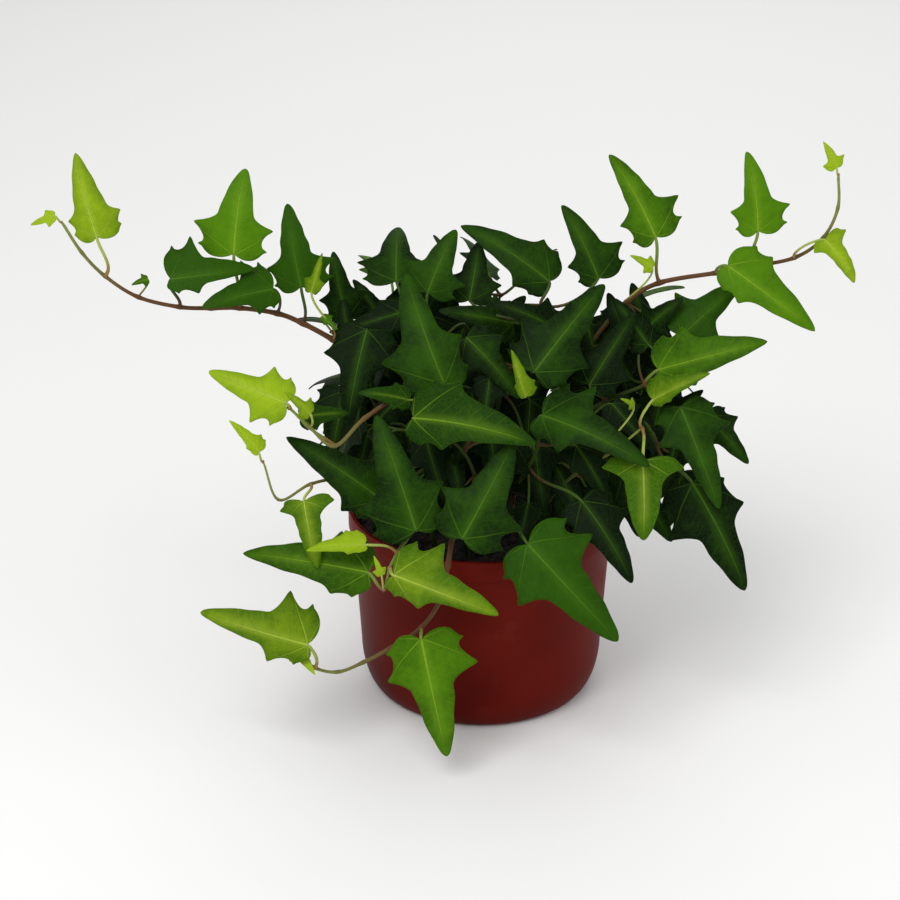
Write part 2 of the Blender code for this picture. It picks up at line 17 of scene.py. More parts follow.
import bpy
import numpy as np
from mathutils import Matrix, Vector


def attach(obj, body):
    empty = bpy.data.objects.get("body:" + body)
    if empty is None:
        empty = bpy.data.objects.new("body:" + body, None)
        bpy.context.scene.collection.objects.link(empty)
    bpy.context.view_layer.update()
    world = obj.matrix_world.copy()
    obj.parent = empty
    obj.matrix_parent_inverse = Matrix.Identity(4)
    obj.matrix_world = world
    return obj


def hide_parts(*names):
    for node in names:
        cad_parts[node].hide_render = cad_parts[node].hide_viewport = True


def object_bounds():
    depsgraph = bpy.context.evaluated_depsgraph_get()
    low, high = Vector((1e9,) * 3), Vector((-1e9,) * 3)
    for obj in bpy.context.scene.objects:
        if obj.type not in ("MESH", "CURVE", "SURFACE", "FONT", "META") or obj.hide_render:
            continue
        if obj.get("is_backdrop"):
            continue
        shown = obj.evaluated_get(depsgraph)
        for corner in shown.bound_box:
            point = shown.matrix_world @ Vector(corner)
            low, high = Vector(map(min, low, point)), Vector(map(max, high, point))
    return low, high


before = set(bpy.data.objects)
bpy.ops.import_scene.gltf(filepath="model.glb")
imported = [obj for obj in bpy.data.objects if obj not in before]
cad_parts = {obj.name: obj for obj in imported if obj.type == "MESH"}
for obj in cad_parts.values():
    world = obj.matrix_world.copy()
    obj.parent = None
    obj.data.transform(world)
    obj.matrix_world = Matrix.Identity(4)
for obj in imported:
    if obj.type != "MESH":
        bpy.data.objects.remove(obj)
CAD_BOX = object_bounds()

LOG = logging.getLogger("potted_ivy")
MM = 0.001
DOUBLES_GAP = 0.000005
ANY_TURN = 6.28
CROWN_MIDDLE = 8.0

Point = tuple[float, float, float]
Colour = tuple[float, float, float]


class Age(Enum):
    """How old a leaf is, which decides its colour."""

    DARK = "leaf_dark"
    GREEN = "leaf_green"
    YOUNG = "leaf_young"


class Outline(Enum):
    """The cuts of leaf that the plant bears."""

    ARROW = "arrow"
    SPEAR = "spear"
    TEE = "tee"
    BUD = "bud"


@dataclass(frozen=True)
class Leaf:
    """A leaf, placed by its base and its tip.

    Args:
        node: the place on its vine where the stalk starts.
        base: where the stalk meets the blade.
        tip: the end of the blade.
        spread: half widths left and right of the midrib, as shares of the length.
        age: its colour group.
        shade: its place between the darker and the lighter end of that group, which holds its own tone and
            painted light and shade.
        joined: whether the CAD node of its vine holds it too.
        facing: the way its upper face looks, as an angle round Z from +X.
        tee: whether its side lobes stand out at its base, over a narrow tongue.
    """

    node: int
    base: Point
    tip: Point
    spread: tuple[float, float]
    age: Age
    shade: float
    joined: bool = False
    facing: float = -90.0
    tee: bool = False

    BUD_LENGTH: ClassVar[float] = 15.0
    JOINED_BUD_LENGTH: ClassVar[float] = 19.0
    SPEAR_WIDTH: ClassVar[float] = 0.62

    @property
    def length(self) -> float:
        """The blade's length in millimetres."""
        return (Vector(self.tip) - Vector(self.base)).length

    @property
    def outline(self) -> Outline:
        """The cut that suits the leaf's size and shape."""
        if self.tee:
            return Outline.TEE
        if self.length < (self.JOINED_BUD_LENGTH if self.joined else self.BUD_LENGTH):
            return Outline.BUD
        return Outline.SPEAR if sum(self.spread) < self.SPEAR_WIDTH else Outline.ARROW


@dataclass(frozen=True)
class Vine:
    """A rooted stem with its leaves.

    Args:
        name: the CAD node of the stem.
        radius: the stem's radius at the soil.
        root: where it comes out of the soil.
        nodes: the places that it runs through and where its leaves grow.
        leaves: the leaves that the CAD model has on it.
    """

    name: str
    radius: float
    root: tuple[float, float]
    nodes: tuple[Point, ...]
    leaves: tuple[Leaf, ...]


@dataclass(frozen=True)
class LeafRow:
    """A row of hanging leaves inside the plant.

    Args:
        first: the base of its first leaf.
        step: the way from each base to the next.
        count: how many leaves it has.
        hang: the way from a base to its tip.
        facing: the way that the middle of the row looks, as an angle round Z from +X.
        fan: how far each leaf is turned from its neighbour, in degrees.
        lean: how far the tips swing along the row, to one side and the other in turn.
        spread: each half width, as a share of the leaf's length.
    """

    first: Point
    step: Point
    count: int
    hang: Point
    facing: float = -90.0
    fan: float = 0.0
    lean: float = 8.0
    spread: float = 0.44

    WOBBLE: ClassVar[float] = 3.0
    WOBBLE_PACE: ClassVar[float] = 2.4
    # Painted shade: the rows' leaves sit at the darkest end and stand for the shade inside the plant.
    SHADES: ClassVar[tuple[float, ...]] = (0.02, 0.12, 0.06, 0.18, 0.0)

    def leaves(self) -> list[Leaf]:
        """Places the row's leaves.

        Returns:
            The leaves, from the first one on.
        """
        step = Vector(self.step)
        made = []
        for i in range(self.count):
            base = Vector(self.first) + step * i
            base.z += self.WOBBLE * math.sin(self.WOBBLE_PACE * i)
            swing = step.normalized() * (self.lean if i % 2 else -self.lean)
            tip = base + Vector(self.hang) + swing
            turn = self.facing + self.fan * (i - (self.count - 1) / 2.0)
            shade = self.SHADES[i % len(self.SHADES)]
            halves = (self.spread, self.spread)
            made.append(Leaf(0, tuple(base), tuple(tip), halves, Age.DARK, shade, facing=turn))
        return made


# The rooted stems, each with its nodes from the soil up and the leaves that the CAD model has.
VINES: tuple[Vine, ...] = (
    Vine("left_runner", 1.7, (-24, 8), (
        (-26, 9, 104), (-34, 11, 132), (-48, 11, 150), (-66, 10, 162), (-79, 9, 170),
        (-90, 8, 175), (-106, 4, 179), (-118, 1, 180), (-131, -3, 182), (-148, -7, 188),
        (-161, -11, 199), (-170, -12, 210), (-177, -14, 224),
    ), (
        Leaf(11, (-163, -13, 217), (-172, 0, 250), (0.25, 0.35), Age.YOUNG, 0.6),
        Leaf(7, (-107, 0, 205), (-102, 14, 239), (0.50, 0.42), Age.GREEN, 0.85),
        Leaf(9, (-133, -12, 198), (-98, -4, 200), (0.50, 0.20), Age.DARK, 1.0),
        Leaf(6, (-90, -4, 191), (-119, -18, 188), (0.30, 0.48), Age.DARK, 0.95),
        Leaf(5, (-79, 6, 188), (-85, 18, 222), (0.36, 0.45), Age.DARK, 1.0),
        Leaf(4, (-74, -3, 189), (-69, 0, 206), (0.25, 0.25), Age.YOUNG, 0.4, joined=True),
        Leaf(4, (-70, 2, 176), (-62, -2, 170), (0.30, 0.20), Age.GREEN, 0.6, joined=True),
        Leaf(10, (-143, -9, 197), (-150, -11, 195), (0.40, 0.40), Age.GREEN, 0.5, joined=True),
        Leaf(13, (-180, -14, 227), (-191, -12, 222), (0.30, 0.30), Age.YOUNG, 1.0, joined=True),
    )),
    Vine("right_runner", 1.6, (22, 12), (
        (24, 13, 104), (34, 15, 132), (48, 16, 158), (63, 16, 178), (77, 14, 188),
        (101, 8, 195), (115, 5, 199), (133, 0, 205), (144, -3, 215), (150, 1, 227), (150, 6, 240),
    ), (
        Leaf(5, (74, 8, 211), (54, 24, 243), (0.28, 0.40), Age.GREEN, 0.6),
        Leaf(7, (117, 2, 216), (112, 16, 247), (0.32, 0.42), Age.GREEN, 0.9),
        Leaf(6, (104, -5, 203), (141, -19, 179), (0.34, 0.22), Age.GREEN, 0.85),
        Leaf(8, (144, -8, 216), (157, -14, 199), (0.45, 0.30), Age.YOUNG, 0.65, tee=True),
        Leaf(4, (73, 3, 199), (63, 2, 205), (0.35, 0.35), Age.YOUNG, 0.75, joined=True),
        Leaf(11, (149, 6, 243), (143, 8, 254), (0.40, 0.40), Age.YOUNG, 0.95, joined=True),
    )),
    Vine("front_trailer", 1.5, (-6, -40), (
        (-8, -46, 94), (-12, -57, 99), (-14, -71, 93), (-17, -79, 81), (-25, -82, 69),
        (-38, -80, 58), (-50, -77, 49), (-61, -75, 43), (-71, -75, 45), (-79, -75, 53),
    ), (
        Leaf(5, (-25, -88, 67), (-14, -96, 14), (0.38, 0.32), Age.GREEN, 0.7),
        Leaf(9, (-73, -82, 60), (-119, -74, 71), (0.22, 0.42), Age.YOUNG, 0.4),
        Leaf(10, (-79, -78, 57), (-70, -86, 48), (0.35, 0.35), Age.YOUNG, 0.9, joined=True),
    )),
    Vine("rim_shoot", 1.3, (-20, -37), (
        (-22, -43, 95), (-27, -57, 104), (-32, -69, 103), (-35, -76, 101), (-38, -82, 97),
        (-40, -86, 89),
    ), (
        Leaf(4, (-48, -86, 110), (-72, -88, 108), (0.15, 0.28), Age.YOUNG, 0.7),
        Leaf(5, (-36, -92, 99), (7, -105, 88), (0.42, 0.20), Age.YOUNG, 0.35),
        Leaf(6, (-47, -82, 95), (-100, -73, 99), (0.22, 0.28), Age.GREEN, 0.45),
        Leaf(6, (-41, -92, 99), (-44, -92, 108), (0.30, 0.30), Age.YOUNG, 0.8, joined=True),
    )),
    Vine("left_trailer", 1.5, (-20, -16), (
        (-22, -18, 104), (-27, -24, 134), (-34, -31, 152), (-49, -50, 151),
        (-61, -63, 144), (-71, -66, 154), (-79, -67, 163),
    ), (
        Leaf(7, (-80, -69, 166), (-112, -62, 177), (0.36, 0.36), Age.YOUNG, 0.75),
        Leaf(5, (-76, -47, 150), (-56, -40, 149), (0.30, 0.30), Age.GREEN, 0.0, joined=True),
        Leaf(6, (-70, -71, 162), (-80, -76, 174), (0.30, 0.30), Age.YOUNG, 0.6, joined=True),
    )),
    Vine("left_sprig", 1.2, (-32, -26), (
        (-35, -30, 96), (-46, -40, 110), (-60, -50, 122), (-72, -58, 124),
        (-85, -65, 120), (-91, -62, 136),
    ), (
        Leaf(6, (-93, -61, 140), (-105, -58, 153), (0.15, 0.34), Age.YOUNG, 0.95),
        Leaf(4, (-74, -70, 122), (-68, -84, 98), (0.45, 0.36), Age.YOUNG, 0.3, tee=True),
    )),
    Vine("left_mid", 1.5, (-36, -4), (
        (-38, -3, 100), (-44, -1, 126), (-52, -1, 146), (-58, 2, 158),
    ), (
        Leaf(4, (-60, 16, 170), (-66, 24, 198), (0.32, 0.38), Age.DARK, 0.35),
        Leaf(3, (-50, -8, 174), (-58, -26, 137), (0.38, 0.38), Age.DARK, 0.15),
        Leaf(4, (-36, 2, 178), (-62, 2, 169), (0.30, 0.30), Age.DARK, 0.1, joined=True),
    )),
    Vine("crown_left", 1.6, (-12, 4), (
        (-13, 4, 112), (-17, 2, 142), (-22, 0, 162), (-27, 4, 174),
    ), (
        Leaf(3, (-38, 14, 188), (-38, 44, 203), (0.50, 0.42), Age.DARK, 0.45),
        Leaf(4, (-24, 6, 186), (-12, 20, 210), (0.48, 0.46), Age.DARK, 0.65),
        Leaf(3, (-16, -34, 160), (-33, -6, 199), (0.42, 0.28), Age.DARK, 0.6),
        Leaf(2, (-31, -40, 155), (-52, -42, 159), (0.25, 0.30), Age.GREEN, 0.0, joined=True),
        Leaf(4, (-26, 22, 170), (-38, 42, 196), (0.40, 0.40), Age.DARK, 0.4, joined=True),
    )),
    Vine("crown_mid", 1.6, (4, 2), (
        (5, 1, 112), (8, -2, 142), (14, -6, 156), (18, -5, 166), (22, -2, 174), (26, 4, 181),
    ), (
        Leaf(6, (29, 12, 189), (-10, 28, 209), (0.24, 0.30), Age.DARK, 0.5),
        Leaf(6, (50, 8, 192), (34, 24, 220), (0.28, 0.45), Age.DARK, 0.55),
        Leaf(4, (22, -30, 164), (52, -4, 194), (0.37, 0.34), Age.DARK, 0.4),
        Leaf(3, (-7, -14, 173), (16, -24, 149), (0.36, 0.36), Age.DARK, 0.35),
        Leaf(5, (-6, 12, 180), (-2, 30, 201), (0.45, 0.45), Age.DARK, 0.35, joined=True),
        Leaf(3, (18, -42, 158), (12, -40, 178), (0.15, 0.30), Age.YOUNG, 0.4, joined=True),
        Leaf(5, (34, -4, 172), (4, -3, 185), (0.32, 0.32), Age.DARK, 0.15, joined=True),
    )),
    Vine("crown_right", 1.6, (24, -8), (
        (28, -9, 106), (38, -11, 130), (54, -14, 144), (70, -15, 152), (82, -10, 160),
    ), (
        Leaf(3, (46, -20, 154), (66, 0, 180), (0.36, 0.36), Age.DARK, 0.1),
        Leaf(5, (86, -3, 170), (112, 10, 190), (0.45, 0.33), Age.DARK, 0.8),
        Leaf(4, (75, -22, 162), (120, -26, 177), (0.32, 0.22), Age.GREEN, 0.5),
        Leaf(4, (70, 2, 170), (86, 0, 186), (0.42, 0.42), Age.DARK, 0.3, joined=True),
        Leaf(2, (56, -22, 146), (72, -34, 130), (0.36, 0.36), Age.DARK, 0.05, joined=True),
    )),
    Vine("right_sprig", 1.2, (20, -28), (
        (26, -31, 99), (40, -34, 118), (56, -36, 130), (68, -34, 140),
    ), (
        Leaf(4, (72, -36, 154), (95, -40, 168), (0.36, 0.16), Age.YOUNG, 0.3),
        Leaf(4, (67, -60, 137), (67, -80, 110), (0.50, 0.50), Age.YOUNG, 0.1, tee=True),
        Leaf(3, (64, -40, 153), (58, -44, 158), (0.30, 0.30), Age.YOUNG, 0.6, joined=True),
    )),
    Vine("right_low", 1.5, (38, -6), (
        (44, -8, 98), (58, -14, 116), (76, -20, 126), (90, -22, 130),
    ), (
        Leaf(4, (84, -34, 150), (100, -58, 114), (0.37, 0.30), Age.DARK, 0.6),
        Leaf(3, (90, -42, 118), (113, -60, 76), (0.30, 0.40), Age.DARK, 0.2),
        Leaf(4, (98, -14, 137), (116, -22, 118), (0.36, 0.36), Age.DARK, 0.4, joined=True),
        Leaf(2, (62, -30, 118), (82, -46, 92), (0.36, 0.36), Age.DARK, 0.3, joined=True),
    )),
    Vine("front_left", 1.5, (-18, -10), (
        (-18, -16, 100), (-22, -30, 118), (-29, -46, 122), (-34, -58, 117),
    ), (
        Leaf(3, (-42, -62, 119), (-82, -52, 143), (0.28, 0.28), Age.DARK, 0.45),
        Leaf(4, (-27, -77, 112), (-44, -54, 154), (0.40, 0.32), Age.DARK, 0.5),
    )),
    Vine("front_mid", 1.4, (0, -22), (
        (0, -27, 100), (-3, -36, 118), (-8, -42, 132), (-18, -43, 142),
    ), (
        Leaf(4, (-29, -50, 151), (22, -64, 146), (0.36, 0.22), Age.GREEN, 0.15),
        Leaf(2, (-8, -80, 110), (13, -58, 144), (0.38, 0.42), Age.DARK, 0.5),
        Leaf(3, (16, -24, 127), (-20, -30, 120), (0.38, 0.38), Age.DARK, 0.0, joined=True),
    )),
    Vine("front_right", 1.5, (12, -14), (
        (14, -20, 102), (20, -32, 120), (24, -38, 134), (22, -38, 143),
    ), (
        Leaf(4, (25, -44, 150), (69, -68, 138), (0.38, 0.24), Age.DARK, 0.55),
        Leaf(2, (42, -60, 118), (63, -80, 90), (0.34, 0.34), Age.DARK, 0.0),
        Leaf(1, (19, -80, 108), (57, -94, 70), (0.40, 0.36), Age.DARK, 0.9),
        Leaf(3, (40, -44, 136), (54, -54, 114), (0.30, 0.30), Age.DARK, 0.0, joined=True),
        Leaf(2, (32, -12, 124), (24, -26, 94), (0.36, 0.36), Age.DARK, 0.0, joined=True),
    )),
    Vine("back_left", 1.6, (-16, 24), (
        (-19, 30, 108), (-27, 38, 136), (-36, 44, 154), (-42, 46, 166),
    ), (
        Leaf(3, (-52, 46, 150), (-88, 60, 152), (0.40, 0.36), Age.DARK, 0.4, joined=True, facing=130),
        Leaf(2, (-38, 58, 138), (-56, 90, 118), (0.38, 0.42), Age.DARK, 0.6, joined=True, facing=120),
        Leaf(1, (-44, 48, 122), (-76, 66, 92), (0.42, 0.36), Age.GREEN, 0.3, joined=True, facing=140),
        Leaf(4, (-42, 54, 174), (-58, 82, 176), (0.36, 0.40), Age.GREEN, 0.5, joined=True, facing=110),
    )),
    Vine("back_mid", 1.6, (4, 28), (
        (4, 38, 108), (3, 50, 134), (4, 54, 154), (8, 50, 168),
    ), (
        Leaf(4, (2, 58, 176), (-10, 86, 184), (0.40, 0.36), Age.DARK, 0.5, joined=True, facing=95),
        Leaf(3, (10, 68, 148), (22, 102, 132), (0.36, 0.42), Age.GREEN, 0.4, joined=True, facing=80),
        Leaf(2, (-8, 68, 126), (-20, 94, 88), (0.42, 0.38), Age.DARK, 0.3, joined=True, facing=100),
        Leaf(4, (18, 56, 174), (34, 80, 180), (0.36, 0.36), Age.DARK, 0.6, joined=True, facing=80),
        Leaf(1, (6, 70, 104), (16, 90, 62), (0.38, 0.40), Age.GREEN, 0.5, joined=True, facing=85),
    )),
    Vine("back_right", 1.6, (28, 26), (
        (32, 32, 106), (40, 40, 130), (48, 40, 148), (52, 36, 160),
    ), (
        Leaf(4, (60, 40, 166), (92, 58, 170), (0.38, 0.36), Age.GREEN, 0.6, joined=True, facing=60),
        Leaf(3, (54, 52, 146), (82, 76, 128), (0.36, 0.40), Age.DARK, 0.3, joined=True, facing=50),
        Leaf(2, (44, 60, 120), (58, 86, 84), (0.40, 0.38), Age.GREEN, 0.4, joined=True, facing=60),
        Leaf(3, (64, 30, 146), (98, 36, 126), (0.36, 0.40), Age.DARK, 0.5, joined=True, facing=20),
    )),
)

# Small leaves inside the plant, which the CAD model leaves out, as (base, tip, half width,
# shade). Their low shades make them near black, as painted shade inside the plant. Each grows
# from a node near it, which is looked for when it is made.
INNER_LEAVES: tuple[Leaf, ...] = tuple(
    Leaf(0, base, tip, (half, half), Age.DARK, shade)
    for base, tip, half, shade in (
        ((-36, 28, 152), (-50, 34, 174), 0.40, 0.1),
        ((-31, 15, 135), (-44, 22, 151), 0.40, 0.0),
        ((-45, 24, 165), (-58, 32, 182), 0.38, 0.2),
        ((-58, 8, 160), (-62, 18, 180), 0.34, 0.1),
        ((-13, 26, 153), (-16, 36, 182), 0.42, 0.2),
        ((0, 12, 153), (13, 20, 166), 0.40, 0.1),
        ((-22, 22, 157), (-33, 34, 178), 0.40, 0.2),
        ((3, 22, 156), (19, 34, 174), 0.42, 0.2),
        ((25, 30, 153), (7, 40, 164), 0.38, 0.1),
        ((33, 20, 160), (43, 30, 175), 0.40, 0.1),
        ((65, 8, 160), (55, 20, 181), 0.42, 0.1),
        ((75, 16, 160), (66, 30, 182), 0.40, 0.2),
        ((65, 2, 148), (53, 10, 165), 0.40, 0.0),
        ((74, -4, 144), (89, 2, 159), 0.40, 0.1),
        ((84, -10, 136), (95, -16, 150), 0.38, 0.2),
        ((-15, -18, 137), (-27, -30, 122), 0.38, 0.0),
        ((0, -24, 142), (-12, -38, 124), 0.40, 0.1),
        ((3, -30, 139), (6, -44, 114), 0.40, 0.05),
        ((-14, -28, 131), (-9, -45, 110), 0.38, 0.1),
        ((13, -26, 130), (0, -44, 106), 0.40, 0.0),
        ((22, -24, 129), (27, -42, 103), 0.40, 0.0),
        ((31, -26, 120), (44, -42, 98), 0.40, 0.0),
        ((40, -18, 127), (33, -36, 100), 0.38, 0.0),
        ((54, -12, 121), (58, -34, 96), 0.40, 0.0),
        ((46, -24, 106), (57, -38, 86), 0.38, 0.05),
        ((65, -10, 113), (77, -28, 93), 0.40, 0.05),
        ((72, -14, 131), (64, -26, 111), 0.38, 0.1),
        ((-23, -34, 118), (-31, -48, 98), 0.38, 0.0),
        ((-12, -44, 109), (0, -56, 96), 0.36, 0.0),
        ((-39, -26, 134), (-50, -44, 122), 0.36, 0.1),
        ((-45, -20, 137), (-32, -16, 149), 0.34, 0.1),
        ((20, -44, 109), (16, -56, 94), 0.36, 0.0),
        ((32, -20, 144), (49, -26, 134), 0.36, 0.1),
        ((-27, -22, 142), (-39, -20, 150), 0.34, 0.2),
        ((13, 6, 172), (-19, 0, 180), 0.34, 0.3),
        ((72, -4, 166), (57, 8, 183), 0.36, 0.2),
        ((3, -20, 157), (0, -30, 137), 0.38, 0.1),
        ((48, -20, 104), (33, -26, 87), 0.38, 0.0),
        ((-24, -30, 132), (-15, -44, 109), 0.38, 0.0),
        ((10, -50, 112), (0, -60, 104), 0.38, 0.1),
        ((-50, 8, 143), (-47, 0, 114), 0.46, 0.1),
        ((-41, 2, 139), (-38, -7, 111), 0.46, 0.05),
        ((-60, 0, 142), (-66, -10, 113), 0.46, 0.1),
        ((-52, -6, 127), (-57, -16, 101), 0.46, 0.05),
        ((90, 0, 104), (83, -8, 79), 0.44, 0.1),
        ((67, 12, 160), (64, 3, 134), 0.46, 0.05),
        ((74, 17, 169), (72, 9, 144), 0.44, 0.1),
        ((21, -2, 139), (18, -10, 110), 0.46, 0.0),
    )
)

# More of them round the back, as (base, tip, age, shade, facing).
OUTER_LEAVES: tuple[Leaf, ...] = tuple(
    Leaf(0, base, tip, (0.38, 0.38), age, shade, facing=facing)
    for base, tip, age, shade, facing in (
        ((-60, 26, 138), (-80, 40, 126), Age.DARK, 0.3, 150),
        ((-30, 60, 160), (-34, 84, 148), Age.DARK, 0.4, 110),
        ((24, 64, 150), (44, 84, 142), Age.GREEN, 0.3, 70),
        ((66, 30, 126), (86, 46, 106), Age.DARK, 0.2, 30),
        ((-14, 44, 176), (-22, 64, 192), Age.DARK, 0.5, 100),
        ((34, 44, 146), (46, 64, 154), Age.DARK, 0.4, 80),
        ((-60, 20, 116), (-78, 30, 98), Age.DARK, 0.2, 160),
    )
)

# Rows of leaves that close the view through the plant: across it from the back down to the
# front, round its back, and along its two sides. They are near black, as painted shade.
CROSS_ROWS: tuple[LeafRow, ...] = (
    LeafRow((-44, 19, 169), (18, 0, 0), 7, (0, -9, -29)),
    LeafRow((-40, 15, 153), (17, 0, 0), 8, (0, -9, -29)),
    LeafRow((-56, 4, 139), (17, 0, 0), 9, (0, -9, -29)),
    LeafRow((-50, -8, 126), (17, 0, 0), 9, (0, -9, -29)),
    LeafRow((-39, -22, 114), (20, 0, 0), 6, (0, -9, -26)),
)
BACK_ROWS: tuple[LeafRow, ...] = (
    LeafRow((-34, 58, 150), (24, 0, 0), 4, (2, 14, -25), facing=90.0, fan=-11.0),
    LeafRow((-34, 60, 125), (24, 0, 0), 4, (2, 14, -25), facing=90.0, fan=-11.0),
)
SIDE_ROWS: tuple[LeafRow, ...] = tuple(
    LeafRow(
        (CROWN_MIDDLE + side * reach, start, level), (0, 23, 0), count, (side * 9, 0, -25),
        facing=90.0 - side * 90.0, fan=side * 12.0,
    )
    for side in (-1, 1)
    for reach, start, level, count in ((48, 7, 161, 3), (62, -18, 136, 4), (58, 5, 116, 3))
)


# --------------------------------------------------------------------------------------
# Shader nodes


class Value:
    """An output socket that takes part in sums: an expression on values adds Math nodes."""

    def __init__(self, paint: "Paint", socket: Any) -> None:
        """Keeps the socket and the material that it belongs to."""
        self.paint = paint
        self.socket = socket

    def _math(self, operation: str, first: Any, second: Any = 0.0) -> "Value":
        """A Math node on two values or numbers."""
        return self.paint.node("ShaderNodeMath", {"operation": operation}, {0: first, 1: second})

    def __add__(self, other: Any) -> "Value":
        """self + other."""
        return self._math("ADD", self, other)

    def __radd__(self, other: Any) -> "Value":
        """other + self."""
        return self._math("ADD", other, self)

    def __sub__(self, other: Any) -> "Value":
        """self - other."""
        return self._math("SUBTRACT", self, other)

    def __rsub__(self, other: Any) -> "Value":
        """other - self."""
        return self._math("SUBTRACT", other, self)

    def __mul__(self, other: Any) -> "Value":
        """self * other."""
        return self._math("MULTIPLY", self, other)

    def __rmul__(self, other: Any) -> "Value":
        """other * self."""
        return self._math("MULTIPLY", other, self)

    def __abs__(self) -> "Value":
        """The value without its sign."""
        return self._math("ABSOLUTE", self)

    def at_least(self, other: Any) -> "Value":
        """The larger of the two."""
        return self._math("MAXIMUM", self, other)

    def fraction(self) -> "Value":
        """What is left over a whole number."""
        return self._math("FRACT", self)

    def fade(self, low: float, high: float, start: float = 0.0, end: float = 1.0) -> "Value":
        """A smooth step.

        Args:
            low: the value up to which the step is at its start.
            high: the value from which it is at its end.
            start: the result up to low.
            end: the result from high.

        Returns:
            The stepped value.
        """
        inputs = {"Value": self, "From Min": low, "From Max": high, "To Min": start, "To Max": end}
        return self.paint.node("ShaderNodeMapRange", {"interpolation_type": "SMOOTHSTEP"}, inputs)


class Paint:
    """A material under construction, with one method that makes every node."""

    def __init__(self, name: str) -> None:
        """Starts a material that has only its shader and its output.

        Args:
            name: the material's name.
        """
        self.material = bpy.data.materials.new(name)
        self.material.use_nodes = True
        self.tree = self.material.node_tree
        self.shader = self.tree.nodes["Principled BSDF"]

    def node(self, kind: str, settings: dict[str, Any], inputs: dict[Any, Any], output: Any = 0) -> Value:
        """A node with its settings and inputs.

        Args:
            kind: the node's type.
            settings: its own settings, set first.
            inputs: values, or outputs of other nodes, by socket name or number.
            output: the name or number of the output to return.

        Returns:
            The chosen output.
        """
        made = self.tree.nodes.new(kind)
        for key, setting in settings.items():
            setattr(made, key, setting)
        for key, value in inputs.items():
            self._feed(made.inputs[key], value)
        return Value(self, made.outputs[output])

    def _feed(self, socket: Any, value: Any) -> None:
        """Links an output to the socket, or sets the socket's own value.

        Args:
            socket: an input of a node.
            value: an output, a number or a colour.
        """
        if isinstance(value, Value):
            self.tree.links.new(value.socket, socket)
        elif isinstance(value, tuple) and len(value) == 3 and len(socket.default_value) == 4:
            socket.default_value = (*value, 1.0)
        else:
            socket.default_value = value

    def set(self, **sockets: Any) -> "Paint":
        """Feeds the shader's own sockets, named with underscores for spaces."""
        for key, value in sockets.items():
            self._feed(self.shader.inputs[key.replace("_", " ")], value)
        return self

    def place(self) -> Value:
        """The point's place on the piece, in metres."""
        return self.node("ShaderNodeTexCoord", {}, {}, "Object")

    def attribute(self, name: str) -> Value:
        """A number that the mesh holds at each of its points."""
        return self.node("ShaderNodeAttribute", {"attribute_name": name}, {}, "Fac")

    def noise(self, scale: float, detail: float = 3.0, where: Value | None = None) -> Value:
        """Soft blotches from 0 to 1, so many to the metre."""
        inputs = {"Vector": where or self.place(), "Scale": scale, "Detail": detail}
        return self.node("ShaderNodeTexNoise", {}, inputs, "Fac")

    def net(self, scale: float) -> Value:
        """How far the point is from the net that divides the surface into cells."""
        inputs = {"Vector": self.place(), "Scale": scale}
        return self.node("ShaderNodeTexVoronoi", {"feature": "DISTANCE_TO_EDGE"}, inputs, "Distance")

    def blend(self, share: Any, first: Any, second: Any) -> Value:
        """A colour between two others.

        Args:
            share: 0 for the first, 1 for the second.
            first: a colour.
            second: a colour.

        Returns:
            The mixed colour.
        """
        return self.node("ShaderNodeMix", {"data_type": "RGBA"}, {0: share, 6: first, 7: second}, 2)

    def bump(self, height: Value, distance: float, strength: float = 1.0) -> Value:
        """A normal that shows the height as relief, in metres."""
        inputs = {"Height": height, "Distance": distance, "Strength": strength}
        return self.node("ShaderNodeBump", {}, inputs, "Normal")


# --------------------------------------------------------------------------------------
# Finishes


@dataclass(frozen=True)
class PlasticFinish:
    """Satin nursery-pot plastic: deep terracotta, a little uneven, darker towards its foot as painted shade,
    duller where it is handled.
    """

    deep: Colour = (0.066, 0.0020, 0.0008)
    light: Colour = (0.138, 0.0072, 0.0026)
    dust: Colour = (0.16, 0.034, 0.018)

    def make(self) -> bpy.types.Material:
        """Paints the plastic's material.

        Returns:
            The material.
        """
        paint = Paint("pot_plastic")
        height = paint.node("ShaderNodeSeparateXYZ", {}, {0: paint.place()}, "Z")
        cloud = paint.noise(18.0, 2.0)
        grain = paint.noise(900.0, 2.0)
        # Painted shade: the plastic leans to its deep colour lower down, darkest at the foot.
        body = paint.blend(cloud.fade(0.3, 0.7) * 0.6 + height.fade(0.0, 0.085) * 0.4, self.deep, self.light)
        scuff = paint.noise(60.0, 6.0).fade(0.60, 0.78) * height.fade(0.03, 0.0, 1.0, 0.25)
        colour = paint.blend(scuff * 0.35, body, self.dust)
        paint.set(
            Base_Color=colour,
            Roughness=0.40 + cloud * 0.12 + scuff * 0.2,
            Specular_IOR_Level=0.05,
            Normal=paint.bump(grain + cloud * 2.0, 0.00008, 0.5),
        )
        return paint.material


@dataclass(frozen=True)
class CompostFinish:
    """Damp compost: near black, paler on its dry clods, with a rough broken surface."""

    damp: Colour = (0.006, 0.004, 0.0025)
    dry: Colour = (0.030, 0.018, 0.010)

    def make(self) -> bpy.types.Material:
        """Paints the compost's material.

        Returns:
            The material.
        """
        paint = Paint("compost")
        clods = paint.noise(260.0, 6.0)
        grains = paint.net(420.0)
        colour = paint.blend(clods.fade(0.42, 0.68) * 0.8, self.damp, self.dry)
        relief = clods + grains.fade(0.0, 0.2) * 0.5
        paint.set(Base_Color=colour, Roughness=0.9, Normal=paint.bump(relief, 0.0009, 0.9))
        return paint.material


